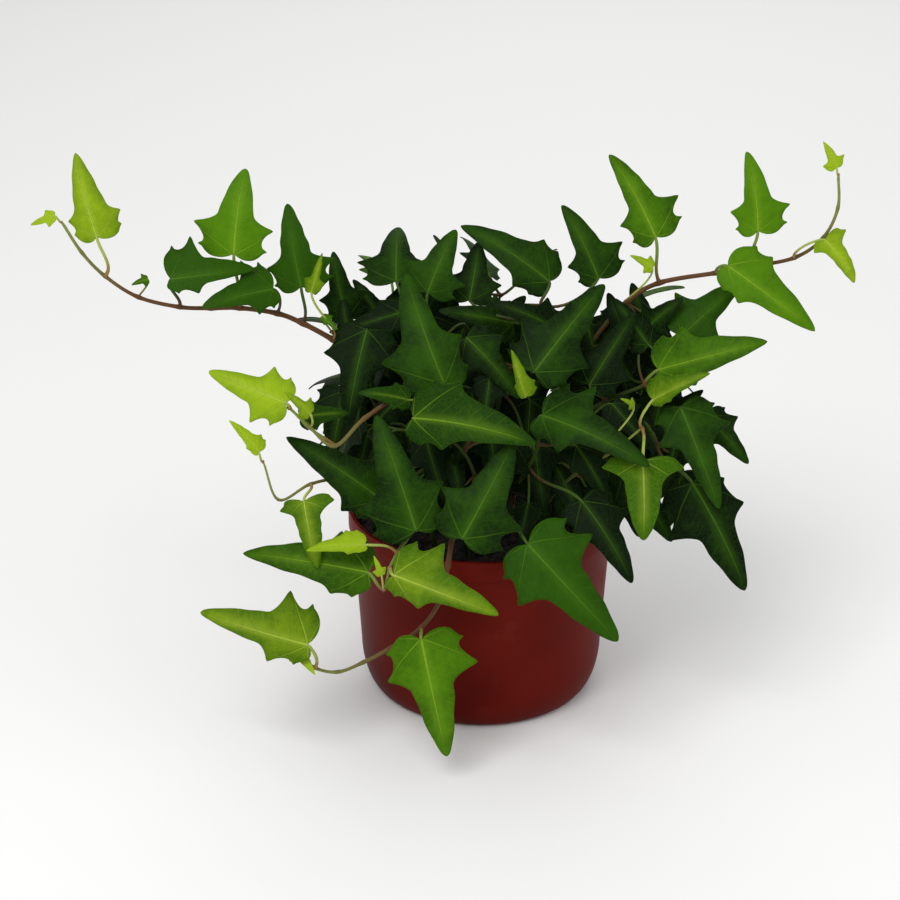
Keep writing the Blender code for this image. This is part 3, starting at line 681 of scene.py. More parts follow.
@dataclass(frozen=True)
class BarkFinish:
    """Thin ivy bark: dark green inside the plant, brown in the light, pale at young tips."""

    green: Colour = (0.028, 0.052, 0.006)
    brown: Colour = (0.125, 0.058, 0.022)
    tender: Colour = (0.215, 0.290, 0.065)
    scar: Colour = (0.05, 0.022, 0.012)

    def make(self) -> bpy.types.Material:
        """Paints the bark's material.

        Returns:
            The material.
        """
        paint = Paint("bark")
        ripe = paint.attribute("ripe")
        patches = paint.noise(110.0, 4.0)
        body = paint.blend((ripe + (patches - 0.5) * 1.2).fade(0.25, 0.75), self.green, self.brown)
        body = paint.blend(paint.attribute("tender"), body, self.tender)
        specks = paint.net(700.0).fade(0.02, 0.10, 1.0, 0.0)
        knot = paint.attribute("knot")
        colour = paint.blend(specks * 0.2 + knot * 0.2, body, self.scar)
        relief = patches + paint.noise(1500.0, 3.0) * 0.5
        paint.set(
            Base_Color=colour,
            Roughness=0.6,
            Specular_IOR_Level=0.12,
            Normal=paint.bump(relief, 0.00012, 0.7),
        )
        return paint.material


@dataclass(frozen=True)
class StalkFinish:
    """A leaf's stalk: smooth, paler than the blade, redder where it leaves the stem."""

    name: str
    fresh: Colour
    flushed: Colour

    def make(self) -> bpy.types.Material:
        """Paints the stalk's material.

        Returns:
            The material.
        """
        paint = Paint(self.name)
        reach = paint.attribute("reach")
        mottle = paint.noise(300.0, 3.0)
        share = (reach + (mottle - 0.5) * 0.5).fade(0.0, 0.7)
        colour = paint.blend(share, self.flushed, self.fresh)
        paint.set(
            Base_Color=colour,
            Roughness=0.45,
            Specular_IOR_Level=0.12,
            Normal=paint.bump(mottle, 0.00008, 0.6),
        )
        return paint.material


@dataclass(frozen=True)
class BladeFinish:
    """The upper face of an ivy leaf of one age.

    Args:
        name: the material's name.
        dark: the blade's colour at shade 0, dark enough to hold painted shade.
        light: the blade's colour at shade 1.
        vein: the colour of the veins.
        vein_strength: how far the main veins stand out.
        roughness: how dull the blade is between its veins.
        mottle: how far its colour varies.
    """

    name: str
    dark: Colour
    light: Colour
    vein: Colour
    vein_strength: float
    roughness: float
    mottle: float

    HALF_WIDTH: ClassVar[float] = 0.38
    SIDE_VEIN: ClassVar[tuple[float, float]] = (0.802, 0.597)
    LOW_VEIN: ClassVar[tuple[float, float]] = (0.985, -0.17)
    SIDE_BEND: ClassVar[float] = 0.38
    VEINLET_GAP: ClassVar[float] = 0.115

    def make(self) -> bpy.types.Material:
        """Paints the blade's material.

        Returns:
            The material.
        """
        paint = Paint(self.name)
        across, along = self._leaf_place(paint)
        # The main veins come with a painted sheen along the midrib.
        veins_and_sheen = self._main_veins_and_sheen(across, along)
        veinlets = self._veinlets(across, along)
        net = paint.net(520.0).fade(0.0, 0.12, 1.0, 0.0)
        blotch = paint.noise(75.0, 3.0).fade(0.32, 0.68)
        mottle = paint.noise(420.0, 4.0)
        # The shade value holds the leaf's own tone with painted light and shade; blotches and mottle are its
        # own uneven colour.
        shade = paint.attribute("shade") + ((blotch - 0.5) * 0.5 + (mottle - 0.5) * 0.8) * self.mottle
        # Painted shade: the blade is darker towards its edges, where it falls away.
        shade = shade - paint.attribute("margin").fade(0.25, 1.0) * 0.16
        body = paint.blend(shade.fade(0.0, 1.0), self.dark, self.light)
        margin = paint.attribute("margin").fade(0.955, 1.0) * 0.14
        pale = (veins_and_sheen * self.vein_strength).at_least(veinlets * (self.vein_strength * 0.22))
        pale = pale.at_least(margin).at_least(net * 0.07) * paint.attribute("shade").fade(-1.4, 0.8)
        colour = paint.blend(pale, body, self.vein)
        relief = mottle * 0.35 - veins_and_sheen * 1.3 - veinlets * 0.35 - net * 0.25 + blotch * 0.6
        paint.set(
            Base_Color=colour,
            Roughness=self.roughness + mottle * 0.12 - veins_and_sheen * 0.06,
            Specular_IOR_Level=0.05,
            Normal=paint.bump(relief, 0.00035, 0.85),
        )
        return paint.material

    def _leaf_place(self, paint: Paint) -> tuple[Value, Value]:
        """Reads the point's place on the blade from the leaf's chart.

        Args:
            paint: the material under construction.

        Returns:
            How far the point is from the midrib, and how far along the blade, both as shares of
            the blade's length.
        """
        chart = paint.node("ShaderNodeUVMap", {"uv_map": LeafCut.CHART}, {}, 0)
        across = paint.node("ShaderNodeSeparateXYZ", {}, {0: chart}, "X")
        along = paint.node("ShaderNodeSeparateXYZ", {}, {0: chart}, "Y")
        across = abs(across - LeafCut.CHART_MIDDLE) * (self.HALF_WIDTH / LeafCut.CHART_HALF)
        along = (along - LeafCut.CHART_BASE) * (1.0 / LeafCut.CHART_LENGTH)
        return across, along

    def _ray(self, across: Value, along: Value, heading: tuple[float, float], width: float,
             reach: float) -> Value:
        """A vein that runs straight from the leaf's base.

        Args:
            across: the place across the blade.
            along: the place along the blade.
            heading: the vein's direction.
            width: its half width at the base.
            reach: how far it runs.

        Returns:
            1 on the vein and 0 off it.
        """
        ahead = across * heading[0] + along * heading[1]
        aside = abs(across * heading[1] - along * heading[0])
        line = (aside + ahead * (0.6 * width / reach)).fade(width * 0.45, width, 1.0, 0.0)
        return line * ahead.fade(-0.01, 0.01) * ahead.fade(reach * 0.8, reach, 1.0, 0.0)

    def _main_veins_and_sheen(self, across: Value, along: Value) -> Value:
        """The midrib, the two pairs of veins that run out to the lobes, and a painted sheen beside the
        midrib.

        Args:
            across: the place across the blade.
            along: the place along the blade.

        Returns:
            1 on the midrib, less on the others and on the painted sheen, and 0 elsewhere.
        """
        curved = along - across * across * self.SIDE_BEND
        midrib = self._ray(across, along, (0.0, 1.0), 0.018, 0.98)
        # Painted sheen: a pale band along both sides of the midrib, fading out sideways and towards the tip.
        midrib_sheen = across.fade(0.0, 0.09, 0.36, 0.0) * along.fade(-0.02, 0.05) * along.fade(1.0, 0.6)
        side = self._ray(across, curved, self.SIDE_VEIN, 0.012, 0.48)
        low = self._ray(across, along, self.LOW_VEIN, 0.009, 0.26)
        return midrib.at_least(side * 0.62).at_least(low * 0.45).at_least(midrib_sheen)

    def _veinlets(self, across: Value, along: Value) -> Value:
        """Fine veins that leave the midrib in pairs and bend towards the tip.

        Args:
            across: the place across the blade.
            along: the place along the blade.

        Returns:
            1 on a veinlet and 0 off it.
        """
        climb = (along - across * 0.85 + across * across * 0.6) * (1.0 / self.VEINLET_GAP)
        gap = abs(climb.fraction() - 0.5) * self.VEINLET_GAP
        line = gap.fade(0.002, 0.0065, 1.0, 0.0)
        return line * along.fade(0.02, 0.14) * across.fade(0.24, 0.10) * along.fade(0.95, 0.7)


@dataclass(frozen=True)
class UndersideFinish:
    """The paler, duller lower face of a leaf, with a raised net of veins."""

    name: str
    body: Colour
    vein: Colour

    def make(self) -> bpy.types.Material:
        """Paints the underside's material.

        Returns:
            The material.
        """
        paint = Paint(self.name)
        net = paint.net(430.0).fade(0.0, 0.14, 1.0, 0.0)
        blotch = paint.noise(90.0, 3.0)
        body = paint.blend(net * 0.35 + blotch.fade(0.35, 0.7) * 0.25, self.body, self.vein)
        paint.set(
            Base_Color=body,
            Roughness=0.62,
            Normal=paint.bump(net + blotch * 0.4, 0.0002, 0.6),
        )
        return paint.material


@dataclass(frozen=True)
class StageFinish:
    """The plain pale floor."""

    colour: Colour = (0.95, 0.95, 0.94)

    def make(self) -> bpy.types.Material:
        """The floor's material."""
        paint = Paint("pale_floor")
        paint.set(Base_Color=self.colour, Roughness=0.8)
        return paint.material


class LeafFinishes:
    """The materials of the leaves: for each age an upper face, an underside and a stalk."""

    # The dark ends are painted shade: at shade 0 the leaves deep inside the plant are near black.
    BLADES: ClassVar[dict[Age, BladeFinish]] = {
        Age.DARK: BladeFinish("blade_dark", (0.0018, 0.0075, 0.0010), (0.0205, 0.074, 0.0010),
                              (0.075, 0.185, 0.012), 0.66, 0.40, 0.50),
        Age.GREEN: BladeFinish("blade_green", (0.0085, 0.038, 0.0008), (0.073, 0.198, 0.002),
                               (0.215, 0.385, 0.020), 0.74, 0.42, 0.44),
        Age.YOUNG: BladeFinish("blade_young", (0.032, 0.100, 0.0008), (0.305, 0.455, 0.010),
                               (0.47, 0.61, 0.07), 0.66, 0.44, 0.26),
    }
    UNDERSIDES: ClassVar[dict[Age, UndersideFinish]] = {
        Age.DARK: UndersideFinish("underside_dark", (0.050, 0.115, 0.030), (0.13, 0.23, 0.07)),
        Age.GREEN: UndersideFinish("underside_green", (0.12, 0.24, 0.035), (0.25, 0.38, 0.09)),
        Age.YOUNG: UndersideFinish("underside_young", (0.31, 0.43, 0.06), (0.46, 0.56, 0.14)),
    }
    STALKS: ClassVar[dict[Age, StalkFinish]] = {
        Age.DARK: StalkFinish("stalk_dark", (0.048, 0.092, 0.014), (0.075, 0.034, 0.015)),
        Age.GREEN: StalkFinish("stalk_green", (0.17, 0.25, 0.04), (0.20, 0.085, 0.03)),
        Age.YOUNG: StalkFinish("stalk_young", (0.36, 0.44, 0.09), (0.26, 0.15, 0.05)),
    }

    def __init__(self) -> None:
        """Makes all nine materials."""
        self.slots = {
            age: (self.BLADES[age].make(), self.UNDERSIDES[age].make(), self.STALKS[age].make())
            for age in Age
        }


# --------------------------------------------------------------------------------------
# Modelling helpers


def choose(*things: bpy.types.Object) -> None:
    """Selects only these objects, and makes the first one active."""
    bpy.ops.object.select_all(action="DESELECT")
    for thing in things:
        thing.select_set(True)
    bpy.context.view_layer.objects.active = things[0]


def fresh(name: str) -> bpy.types.Object:
    """Names the object that an operator has just added.

    Args:
        name: the name for the object and its mesh.

    Returns:
        The object.
    """
    thing = bpy.context.active_object
    thing.name = name
    thing.data.name = name
    return thing


@contextmanager
def editing(thing: bpy.types.Object) -> Iterator[None]:
    """Edit mode on one object, with all of its mesh selected at the start.

    Args:
        thing: the object.

    Yields:
        Nothing, while edit mode lasts.
    """
    choose(thing)
    bpy.ops.object.mode_set(mode="EDIT")
    bpy.ops.mesh.select_all(action="SELECT")
    yield
    bpy.ops.object.mode_set(mode="OBJECT")


def apply_modifier(thing: bpy.types.Object, kind: str, **settings: Any) -> None:
    """Adds a modifier to the object and applies it.

    Args:
        thing: the object.
        kind: the modifier's type.
        settings: the modifier's own settings.
    """
    modifier = thing.modifiers.new(kind.lower(), kind)
    for key, setting in settings.items():
        setattr(modifier, key, setting)
    choose(thing)
    bpy.ops.object.modifier_apply(modifier=modifier.name)


def dress(thing: bpy.types.Object, *materials: bpy.types.Material) -> None:
    """Gives the object its materials in order."""
    for material in materials:
        thing.data.materials.append(material)


def copy_of(thing: bpy.types.Object) -> bpy.types.Object:
    """Copies an object, and its mesh with it.

    Args:
        thing: the object.

    Returns:
        The copy.
    """
    made = thing.copy()
    made.data = thing.data.copy()
    bpy.context.scene.collection.objects.link(made)
    return made


def draw_rings(rings: list[tuple[float, float]]) -> None:
    """Extrudes the selected ring of edges through a list of rings, and closes the last one.

    Args:
        rings: each ring's radius and height in millimetres, from the selected one on.
    """
    for (before, low), (radius, level) in zip(rings, rings[1:]):
        bpy.ops.mesh.extrude_region_move(TRANSFORM_OT_translate={"value": (0, 0, (level - low) * MM)})
        share = radius / before
        bpy.ops.transform.resize(value=(share, share, 1.0), center_override=(0.0, 0.0, level * MM))
    bpy.ops.mesh.edge_face_add()
    bpy.ops.mesh.select_all(action="SELECT")
    bpy.ops.mesh.normals_make_consistent(inside=False)


def settle(thing: bpy.types.Object) -> None:
    """Moves the object's place, turn and scale into its mesh."""
    choose(thing)
    bpy.ops.object.transform_apply(location=True, rotation=True, scale=True)


def add_attribute(mesh: bpy.types.Mesh, name: str, values: Any) -> None:
    """Gives each point of the mesh a number that a material can read."""
    made = mesh.attributes.new(name, "FLOAT", "POINT")
    made.data.foreach_set("value", np.asarray(values, dtype=np.float32))


def register(piece: bpy.types.Object, slot: str, *nodes: str) -> bpy.types.Object:
    """Ties a finished piece to the CAD model.

    Args:
        piece: the finished object.
        slot: the record's material slot; not used.
        nodes: the CAD nodes that the piece stands for.

    Returns:
        The piece.
    """
    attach(piece, "root")
    if nodes:
        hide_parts(*nodes)
    LOG.info("%s: %d faces", piece.name, len(piece.data.polygons))
    return piece


def join(name: str, parts: list[bpy.types.Object]) -> bpy.types.Object:
    """Joins the objects into one, which keeps the first one's materials.

    Args:
        name: the name for the joined object.
        parts: the objects.

    Returns:
        The joined object.
    """
    choose(*parts)
    if len(parts) > 1:
        bpy.ops.object.join()
    return fresh(name)


def smooth_line(knots: list[Vector], parts: int) -> list[Vector]:
    """Points of a smooth curve that passes through each knot.

    Args:
        knots: the points that it passes through.
        parts: how many pieces each span is cut into.

    Returns:
        The curve's points, with both ends.
    """
    padded = [knots[0] * 2.0 - knots[1], *knots, knots[-1] * 2.0 - knots[-2]]
    line = []
    for i in range(1, len(padded) - 2):
        before, start, end, after = padded[i - 1:i + 3]
        for part in range(parts):
            t = part / parts
            line.append(0.5 * (
                2.0 * start + (end - before) * t
                + (2.0 * before - 5.0 * start + 4.0 * end - after) * t ** 2
                + (3.0 * start - before - 3.0 * end + after) * t ** 3
            ))
    line.append(knots[-1].copy())
    return line


def add_tube(name: str, line: list[Vector], radii: list[float], roundness: int) -> bpy.types.Object:
    """A closed tube along a line.

    Args:
        name: the object's name.
        line: its points, in millimetres.
        radii: its radius at each point, in millimetres.
        roundness: the curve's bevel resolution.

    Returns:
        The tube as a mesh object.
    """
    curve = bpy.data.curves.new(name, "CURVE")
    curve.dimensions = "3D"
    curve.bevel_depth = MM
    curve.bevel_resolution = roundness
    curve.use_fill_caps = True
    spline = curve.splines.new("POLY")
    spline.points.add(len(line) - 1)
    for point, place, radius in zip(spline.points, line, radii):
        point.co = (*(place * MM), 1.0)
        point.radius = radius
    thing = bpy.data.objects.new(name, curve)
    bpy.context.scene.collection.objects.link(thing)
    choose(thing)
    bpy.ops.object.convert(target="MESH")
    thing = fresh(name)
    with editing(thing):
        bpy.ops.mesh.remove_doubles(threshold=DOUBLES_GAP)
    bpy.ops.object.shade_smooth()
    return thing


# --------------------------------------------------------------------------------------
# Pot and compost


@dataclass
class Pot:
    """The turned plastic pot: a collar with a soft lip, a tapering wall, a curved foot, drains."""

    height: float = 88.0
    rim: float = 60.0
    wall: float = 1.6
    collar: float = 9.0
    step: float = 1.6
    slope: float = 1.2
    foot_top_radius: float = 55.0
    foot_height: float = 22.0
    base: float = 46.5
    base_shares: tuple[float, ...] = (0.75, 0.45)
    steps: int = 120
    foot_parts: int = 9
    edge_bevel: float = 0.45
    bevel_parts: int = 3
    bevel_angle: float = 28.0
    smooth_angle: float = 40.0
    drains: int = 6
    drain_radius: float = 4.0
    drain_circle: float = 33.0
    drain_start: float = 5.0
    drain_sides: int = 28
    cutter_depth: float = 8.0

    def profile(self) -> list[tuple[float, float]]:
        """The outside from the lip down to the flat base, which is drawn in by two rings.

        Returns:
            Each ring's radius and height.
        """
        points = [
            (self.rim, self.height),
            (self.rim, self.height - self.collar),
            (self.rim - self.step, self.height - self.collar - self.slope),
            (self.foot_top_radius, self.foot_height),
        ]
        for part in range(1, self.foot_parts + 1):
            turn = math.radians(90.0 * part / self.foot_parts)
            points.append((
                self.base + (self.foot_top_radius - self.base) * math.cos(turn),
                self.foot_height * (1.0 - math.sin(turn)),
            ))
        return points + [(self.base * share, 0.0) for share in self.base_shares]

    def build(self) -> bpy.types.Object:
        """Turns the shell, gives it its wall, cuts the drains and softens the edges.

        Returns:
            The pot.
        """
        rings = self.profile()
        radius, height = rings[0]
        bpy.ops.object.select_all(action="DESELECT")
        bpy.ops.mesh.primitive_circle_add(
            vertices=self.steps, radius=radius * MM, location=(0.0, 0.0, height * MM)
        )
        pot = fresh("pot_shell")
        settle(pot)
        with editing(pot):
            bpy.ops.mesh.select_mode(type="EDGE")
            draw_rings(rings)
        self._face_out(pot)
        apply_modifier(pot, "SOLIDIFY", thickness=self.wall * MM, offset=-1.0, use_even_offset=True)
        self._cut_drains(pot)
        apply_modifier(
            pot, "BEVEL", width=self.edge_bevel * MM, segments=self.bevel_parts,
            limit_method="ANGLE", angle_limit=math.radians(self.bevel_angle),
        )
        bpy.ops.object.shade_smooth_by_angle(angle=math.radians(self.smooth_angle))
        dress(pot, PlasticFinish().make())
        return register(pot, "pot_plastic", "pot")

    def _face_out(self, pot: bpy.types.Object) -> None:
        """Turns the open shell's faces outwards, by the highest face of its wall.

        Args:
            pot: the shell.
        """
        wall = max(pot.data.polygons, key=lambda face: face.center.z)
        if wall.normal.dot(Vector((wall.center.x, wall.center.y, 0.0))) < 0.0:
            with editing(pot):
                bpy.ops.mesh.flip_normals()

    def _cut_drains(self, pot: bpy.types.Object) -> None:
        """Cuts a ring of round drains through the base.

        Args:
            pot: the shell, with its wall.
        """
        for drain in range(self.drains):
            turn = math.radians(self.drain_start + 360.0 * drain / self.drains)
            place = Vector((math.cos(turn), math.sin(turn), 0.0)) * (self.drain_circle * MM)
            bpy.ops.object.select_all(action="DESELECT")
            bpy.ops.mesh.primitive_cylinder_add(
                vertices=self.drain_sides, radius=self.drain_radius * MM,
                depth=self.cutter_depth * MM, location=place,
            )
            cutter = fresh("drain_cutter")
            apply_modifier(pot, "BOOLEAN", operation="DIFFERENCE", solver="EXACT", object=cutter)
            bpy.data.objects.remove(cutter, do_unlink=True)


@dataclass
class Compost:
    """The compost that fills the pot, with loose crumbs on its surface."""

    level: float = 78.0
    dome: float = 4.0
    edge_drop: float = 1.0
    edge: float = 56.3
    dome_radius: float = 60.0
    sides: int = 96
    rings: int = 26
    waves: int = 14
    wave_height: float = 0.045
    plain_edge: float = 0.5
    crumbs: int = 460
    crumb_reach: float = 55.0
    crumb_lift: float = 0.25
    small_share: float = 0.85
    seed: int = 5

    WAVE_PACES: ClassVar[tuple[float, float]] = (90.0, 620.0)
    CRUMB_SHAPE: ClassVar[Point] = (1.0, 0.8, 0.62)
    CRUMB_DENTS: ClassVar[tuple[float, float]] = (0.78, 1.2)
    CRUMB_WIDTHS: ClassVar[tuple[float, float]] = (0.6, 1.3)
    SMALL_SIZES: ClassVar[tuple[float, float]] = (0.5, 1.9)
    LARGE_SIZES: ClassVar[tuple[float, float]] = (1.9, 3.0)
    BELOW: ClassVar[tuple[tuple[float, float], ...]] = (
        (12.0, 2.7), (30.0, 2.7), (46.0, 2.8), (49.0, 5.4), (51.4, 12.4), (52.4, 22.0),
    )

    def top(self, radius: float) -> float:
        """The height of the domed surface at a distance from the pot's axis."""
        share = min(radius / self.dome_radius, 1.0)
        return self.level + self.dome * (1.0 - share * share)

    def build(self) -> list[bpy.types.Object]:
        """Makes the plug and its crumbs.

        Returns:
            Both pieces.
        """
        finish = CompostFinish().make()
        bed = self._build_bed()
        dress(bed, finish)
        loose = self._build_crumbs()
        dress(loose, finish)
        return [register(bed, "soil", "soil"), register(loose, "soil")]

    def _build_bed(self) -> bpy.types.Object:
        """Makes the plug from its underside up the inside of the pot and in over the dome.

        Returns:
            The plug.
        """
        outline = [*self.BELOW, (self.edge, self.level - self.edge_drop)]
        for ring in range(1, self.rings):
            radius = self.edge * (1.0 - ring / self.rings)
            outline.append((radius, self.top(radius)))
        first, low = outline[0]
        bpy.ops.object.select_all(action="DESELECT")
        bpy.ops.mesh.primitive_circle_add(
            vertices=self.sides, radius=first * MM, fill_type="NGON", location=(0.0, 0.0, low * MM)
        )
        bed = fresh("compost_bed")
        settle(bed)
        with editing(bed):
            bpy.ops.mesh.select_mode(type="EDGE")
            bpy.ops.mesh.region_to_loop()
            draw_rings(outline)
        self._roughen(bed)
        bpy.ops.object.shade_smooth()
        return bed

    def _roughen(self, bed: bpy.types.Object) -> None:
        """Lifts and lowers the dome's points by a sum of waves.

        Args:
            bed: the plug.
        """
        chance = random.Random(self.seed)
        waves = [
            (chance.uniform(*self.WAVE_PACES), chance.uniform(0, ANY_TURN), chance.uniform(0, ANY_TURN))
            for _ in range(self.waves)
        ]
        for point in bed.data.vertices:
            radius = math.hypot(point.co.x, point.co.y) / MM
            height = point.co.z / MM
            if height > self.level - 0.9 * self.edge_drop and radius < self.edge - self.plain_edge:
                lift = sum(
                    math.sin(point.co.x * pace + first) * math.sin(point.co.y * pace * 1.1 + second) / pace
                    for pace, first, second in waves
                )
                point.co.z += lift * self.wave_height

    def _build_crumbs(self) -> bpy.types.Object:
        """Makes one lump and copies it all over the surface, in several sizes and turns.

        Returns:
            The crumbs as one piece.
        """
        chance = random.Random(self.seed)
        bpy.ops.object.select_all(action="DESELECT")
        bpy.ops.mesh.primitive_ico_sphere_add(subdivisions=1, radius=MM)
        lump = fresh("compost_crumbs")
        with editing(lump):
            bpy.ops.transform.resize(value=self.CRUMB_SHAPE)
        for point in lump.data.vertices:
            point.co *= chance.uniform(*self.CRUMB_DENTS)
        crumbs = [lump]
        for _ in range(self.crumbs):
            radius = self.crumb_reach * math.sqrt(chance.random())
            turn = chance.uniform(0.0, math.tau)
            small = chance.random() < self.small_share
            size = chance.uniform(*(self.SMALL_SIZES if small else self.LARGE_SIZES))
            height = self.top(radius) + size * self.crumb_lift
            place = Vector((radius * math.cos(turn), radius * math.sin(turn), height))
            crumb = copy_of(lump)
            spin = Matrix.Rotation(chance.uniform(0, ANY_TURN), 4, "Z")
            spin = spin @ Matrix.Rotation(chance.uniform(0, ANY_TURN), 4, "X")
            shape = Matrix.Diagonal((size, size * chance.uniform(*self.CRUMB_WIDTHS), size, 1.0))
            crumb.data.transform(Matrix.Translation(place * MM) @ spin @ shape)
            crumbs.append(crumb)
        lump.data.transform(Matrix.Translation(Vector((0.0, 0.0, self.top(0.0) * MM))))
        return join("compost_crumbs", crumbs)


# --------------------------------------------------------------------------------------
# Stems


@dataclass
class StemMaker:
    """Makes the stems: tubes through their nodes, thicker at each node, in thin bark."""

    compost: Compost
    rise: float = 3.0
    depth: float = 7.0
    tip_share: float = 0.42
    tender_reach: float = 42.0
    parts: int = 8
    roundness: int = 4
    slim: float = 0.88
    end_share: float = 0.6
    knot_swell: float = 0.28
    knot_reach: float = 1.6
    scar_reach: float = 1.8
    ripe_start: float = 35.0
    ripe_run: float = 45.0
    crown_ripe: float = 0.25

    LONG_KINDS: ClassVar[tuple[str, ...]] = ("runner", "trailer", "sprig")

    def nodes(self, vine: Vine) -> list[Vector]:
        """The vine's nodes from its root up."""
        x, y = vine.root
        top = self.compost.top(math.hypot(x, y)) + self.rise
        return [Vector((x, y, top)), *(Vector(node) for node in vine.nodes)]

    def radius(self, vine: Vine, share: float) -> float:
        """The stem's radius at a share of its way to its end."""
        return vine.radius * (1.0 - (1.0 - self.tip_share) * share)

    def build(self, vine: Vine, bark: bpy.types.Material) -> bpy.types.Object:
        """Makes one stem.

        Args:
            vine: the vine whose stem it is.
            bark: its material.

        Returns:
            The stem.
        """
        nodes = self.nodes(vine)
        foot = nodes[0] - Vector((0.0, 0.0, self.rise + self.depth))
        line = [foot, foot.lerp(nodes[0], 0.5), *smooth_line(nodes, self.parts)]
        radii = []
        for i, place in enumerate(line):
            near = min((place - node).length for node in nodes[1:])
            swell = self.knot_swell * math.exp(-((near / self.knot_reach) ** 2))
            radii.append(self.radius(vine, i / (len(line) - 1)) * (self.slim + swell))
        radii[-1] *= self.end_share
        stem = add_tube(f"stem_{vine.name}", line, radii, self.roundness)
        self._mark(stem, vine, nodes)
        dress(stem, bark)
        return register(stem, "stem", vine.name)

    def _mark(self, stem: bpy.types.Object, vine: Vine, nodes: list[Vector]) -> None:
        """Marks how ripe and how tender the bark is, and where the knots are.

        Args:
            stem: the stem.
            vine: the vine whose stem it is.
            nodes: the vine's nodes.
        """
        long = any(kind in vine.name for kind in self.LONG_KINDS)
        young = vine.leaves[-1].age is Age.YOUNG
        marks: dict[str, list[float]] = {"tender": [], "ripe": [], "knot": []}
        for point in stem.data.vertices:
            place = point.co / MM
            out = (math.hypot(place.x, place.y) - self.ripe_start) / self.ripe_run
            near = min((place - node).length for node in nodes[1:])
            left = (place - nodes[-1]).length / self.tender_reach
            marks["tender"].append(max(0.0, 1.0 - left) if young else 0.0)
            marks["ripe"].append(min(1.0, max(0.0, out)) if long else self.crown_ripe)
            marks["knot"].append(math.exp(-((near / self.scar_reach) ** 2)))
        for name, values in marks.items():
            add_attribute(stem.data, name, values)


# --------------------------------------------------------------------------------------
# Leaves


@dataclass
class LeafCut:
    """One cut of leaf, drawn flat on a fine grid: the pattern that each leaf is bent from.

    Args:
        outline: the cut.
        half: control points of the half outline as (midrib share, along share, across share).
        columns: strips from the midrib to the edge.
        between: rows from one control point to the next.
    """

    outline: Outline
    half: tuple[Point, ...]
    columns: int = 7
    between: int = 2

    CHART: ClassVar[str] = "leaf_chart"
    CHART_MIDDLE: ClassVar[float] = 0.5
    CHART_HALF: ClassVar[float] = 0.46
    CHART_BASE: ClassVar[float] = 0.08
    CHART_LENGTH: ClassVar[float] = 0.9

    def stations(self) -> list[Vector]:
        """The half outline at each row of the grid."""
        return smooth_line([Vector(point) for point in self.half], self.between)

    def build(self) -> tuple[bpy.types.Object, np.ndarray]:
        """Adds the grid, with its chart.

        Returns:
            The flat pattern, and for each of its points (across, along, margin), where across is
            a signed share of the half width, and along is a share of the length.
        """
        stations = self.stations()
        rows = len(stations) - 1
        bpy.ops.object.select_all(action="DESELECT")
        bpy.ops.mesh.primitive_grid_add(x_subdivisions=2 * self.columns, y_subdivisions=rows, size=2.0)
        pattern = fresh(f"pattern_{self.outline.value}")
        flat = []
        for point in pattern.data.vertices:
            side = point.co.x
            row = round((point.co.y + 1.0) / 2.0 * rows)
            midrib, along, across = stations[row]
            reach = abs(side)
            flat.append((
                math.copysign(across * reach, side) if reach > 1e-6 else 0.0,
                midrib + (along - midrib) * reach,
                reach,
            ))
        places = np.array(flat)
        self._draw_chart(pattern.data, places)
        add_attribute(pattern.data, "margin", places[:, 2])
        return pattern, places

    def _draw_chart(self, mesh: bpy.types.Mesh, places: np.ndarray) -> None:
        """Lays the flat leaf out in a UV map, which the veins follow.

        Args:
            mesh: the pattern's mesh.
            places: (across, along, margin) of each of its points.
        """
        for old in list(mesh.uv_layers):
            mesh.uv_layers.remove(old)
        chart = mesh.uv_layers.new(name=self.CHART)
        corners = np.zeros(len(mesh.loops), dtype=np.int32)
        mesh.loops.foreach_get("vertex_index", corners)
        across = self.CHART_MIDDLE + places[corners, 0] * self.CHART_HALF
        along = self.CHART_BASE + places[corners, 1] * self.CHART_LENGTH
        chart.data.foreach_set("uv", np.column_stack((across, along)).ravel().astype(np.float32))


ARROW = LeafCut(Outline.ARROW, (
    (0.000, 0.000, 0.030), (0.008, -0.022, 0.110), (0.020, -0.046, 0.260), (0.040, -0.050, 0.430),
    (0.062, -0.030, 0.590), (0.085, 0.012, 0.710), (0.104, 0.056, 0.790), (0.120, 0.084, 0.885),
    (0.136, 0.116, 0.770), (0.168, 0.165, 0.735), (0.205, 0.222, 0.780), (0.245, 0.284, 0.890),
    (0.278, 0.340, 1.030), (0.305, 0.370, 0.840), (0.340, 0.398, 0.670), (0.380, 0.430, 0.545),
    (0.425, 0.462, 0.470), (0.475, 0.505, 0.440), (0.540, 0.562, 0.418), (0.615, 0.630, 0.385),
    (0.690, 0.701, 0.345), (0.765, 0.773, 0.296), (0.835, 0.843, 0.240), (0.895, 0.903, 0.182),
    (0.945, 0.952, 0.126), (0.980, 0.985, 0.070), (1.000, 1.000, 0.014),
))
SPEAR = LeafCut(Outline.SPEAR, (
    (0.000, 0.000, 0.030), (0.010, -0.024, 0.140), (0.028, -0.040, 0.340), (0.055, -0.030, 0.560),
    (0.090, 0.010, 0.740), (0.130, 0.070, 0.850), (0.160, 0.112, 0.940), (0.182, 0.150, 0.850),
    (0.215, 0.205, 0.860), (0.250, 0.262, 0.940), (0.280, 0.302, 1.010), (0.315, 0.338, 0.840),
    (0.360, 0.378, 0.700), (0.420, 0.430, 0.620), (0.490, 0.498, 0.565), (0.565, 0.570, 0.520),
    (0.640, 0.645, 0.466), (0.715, 0.720, 0.402), (0.790, 0.795, 0.330), (0.860, 0.865, 0.250),
    (0.920, 0.926, 0.168), (0.970, 0.976, 0.088), (1.000, 1.000, 0.016),
))
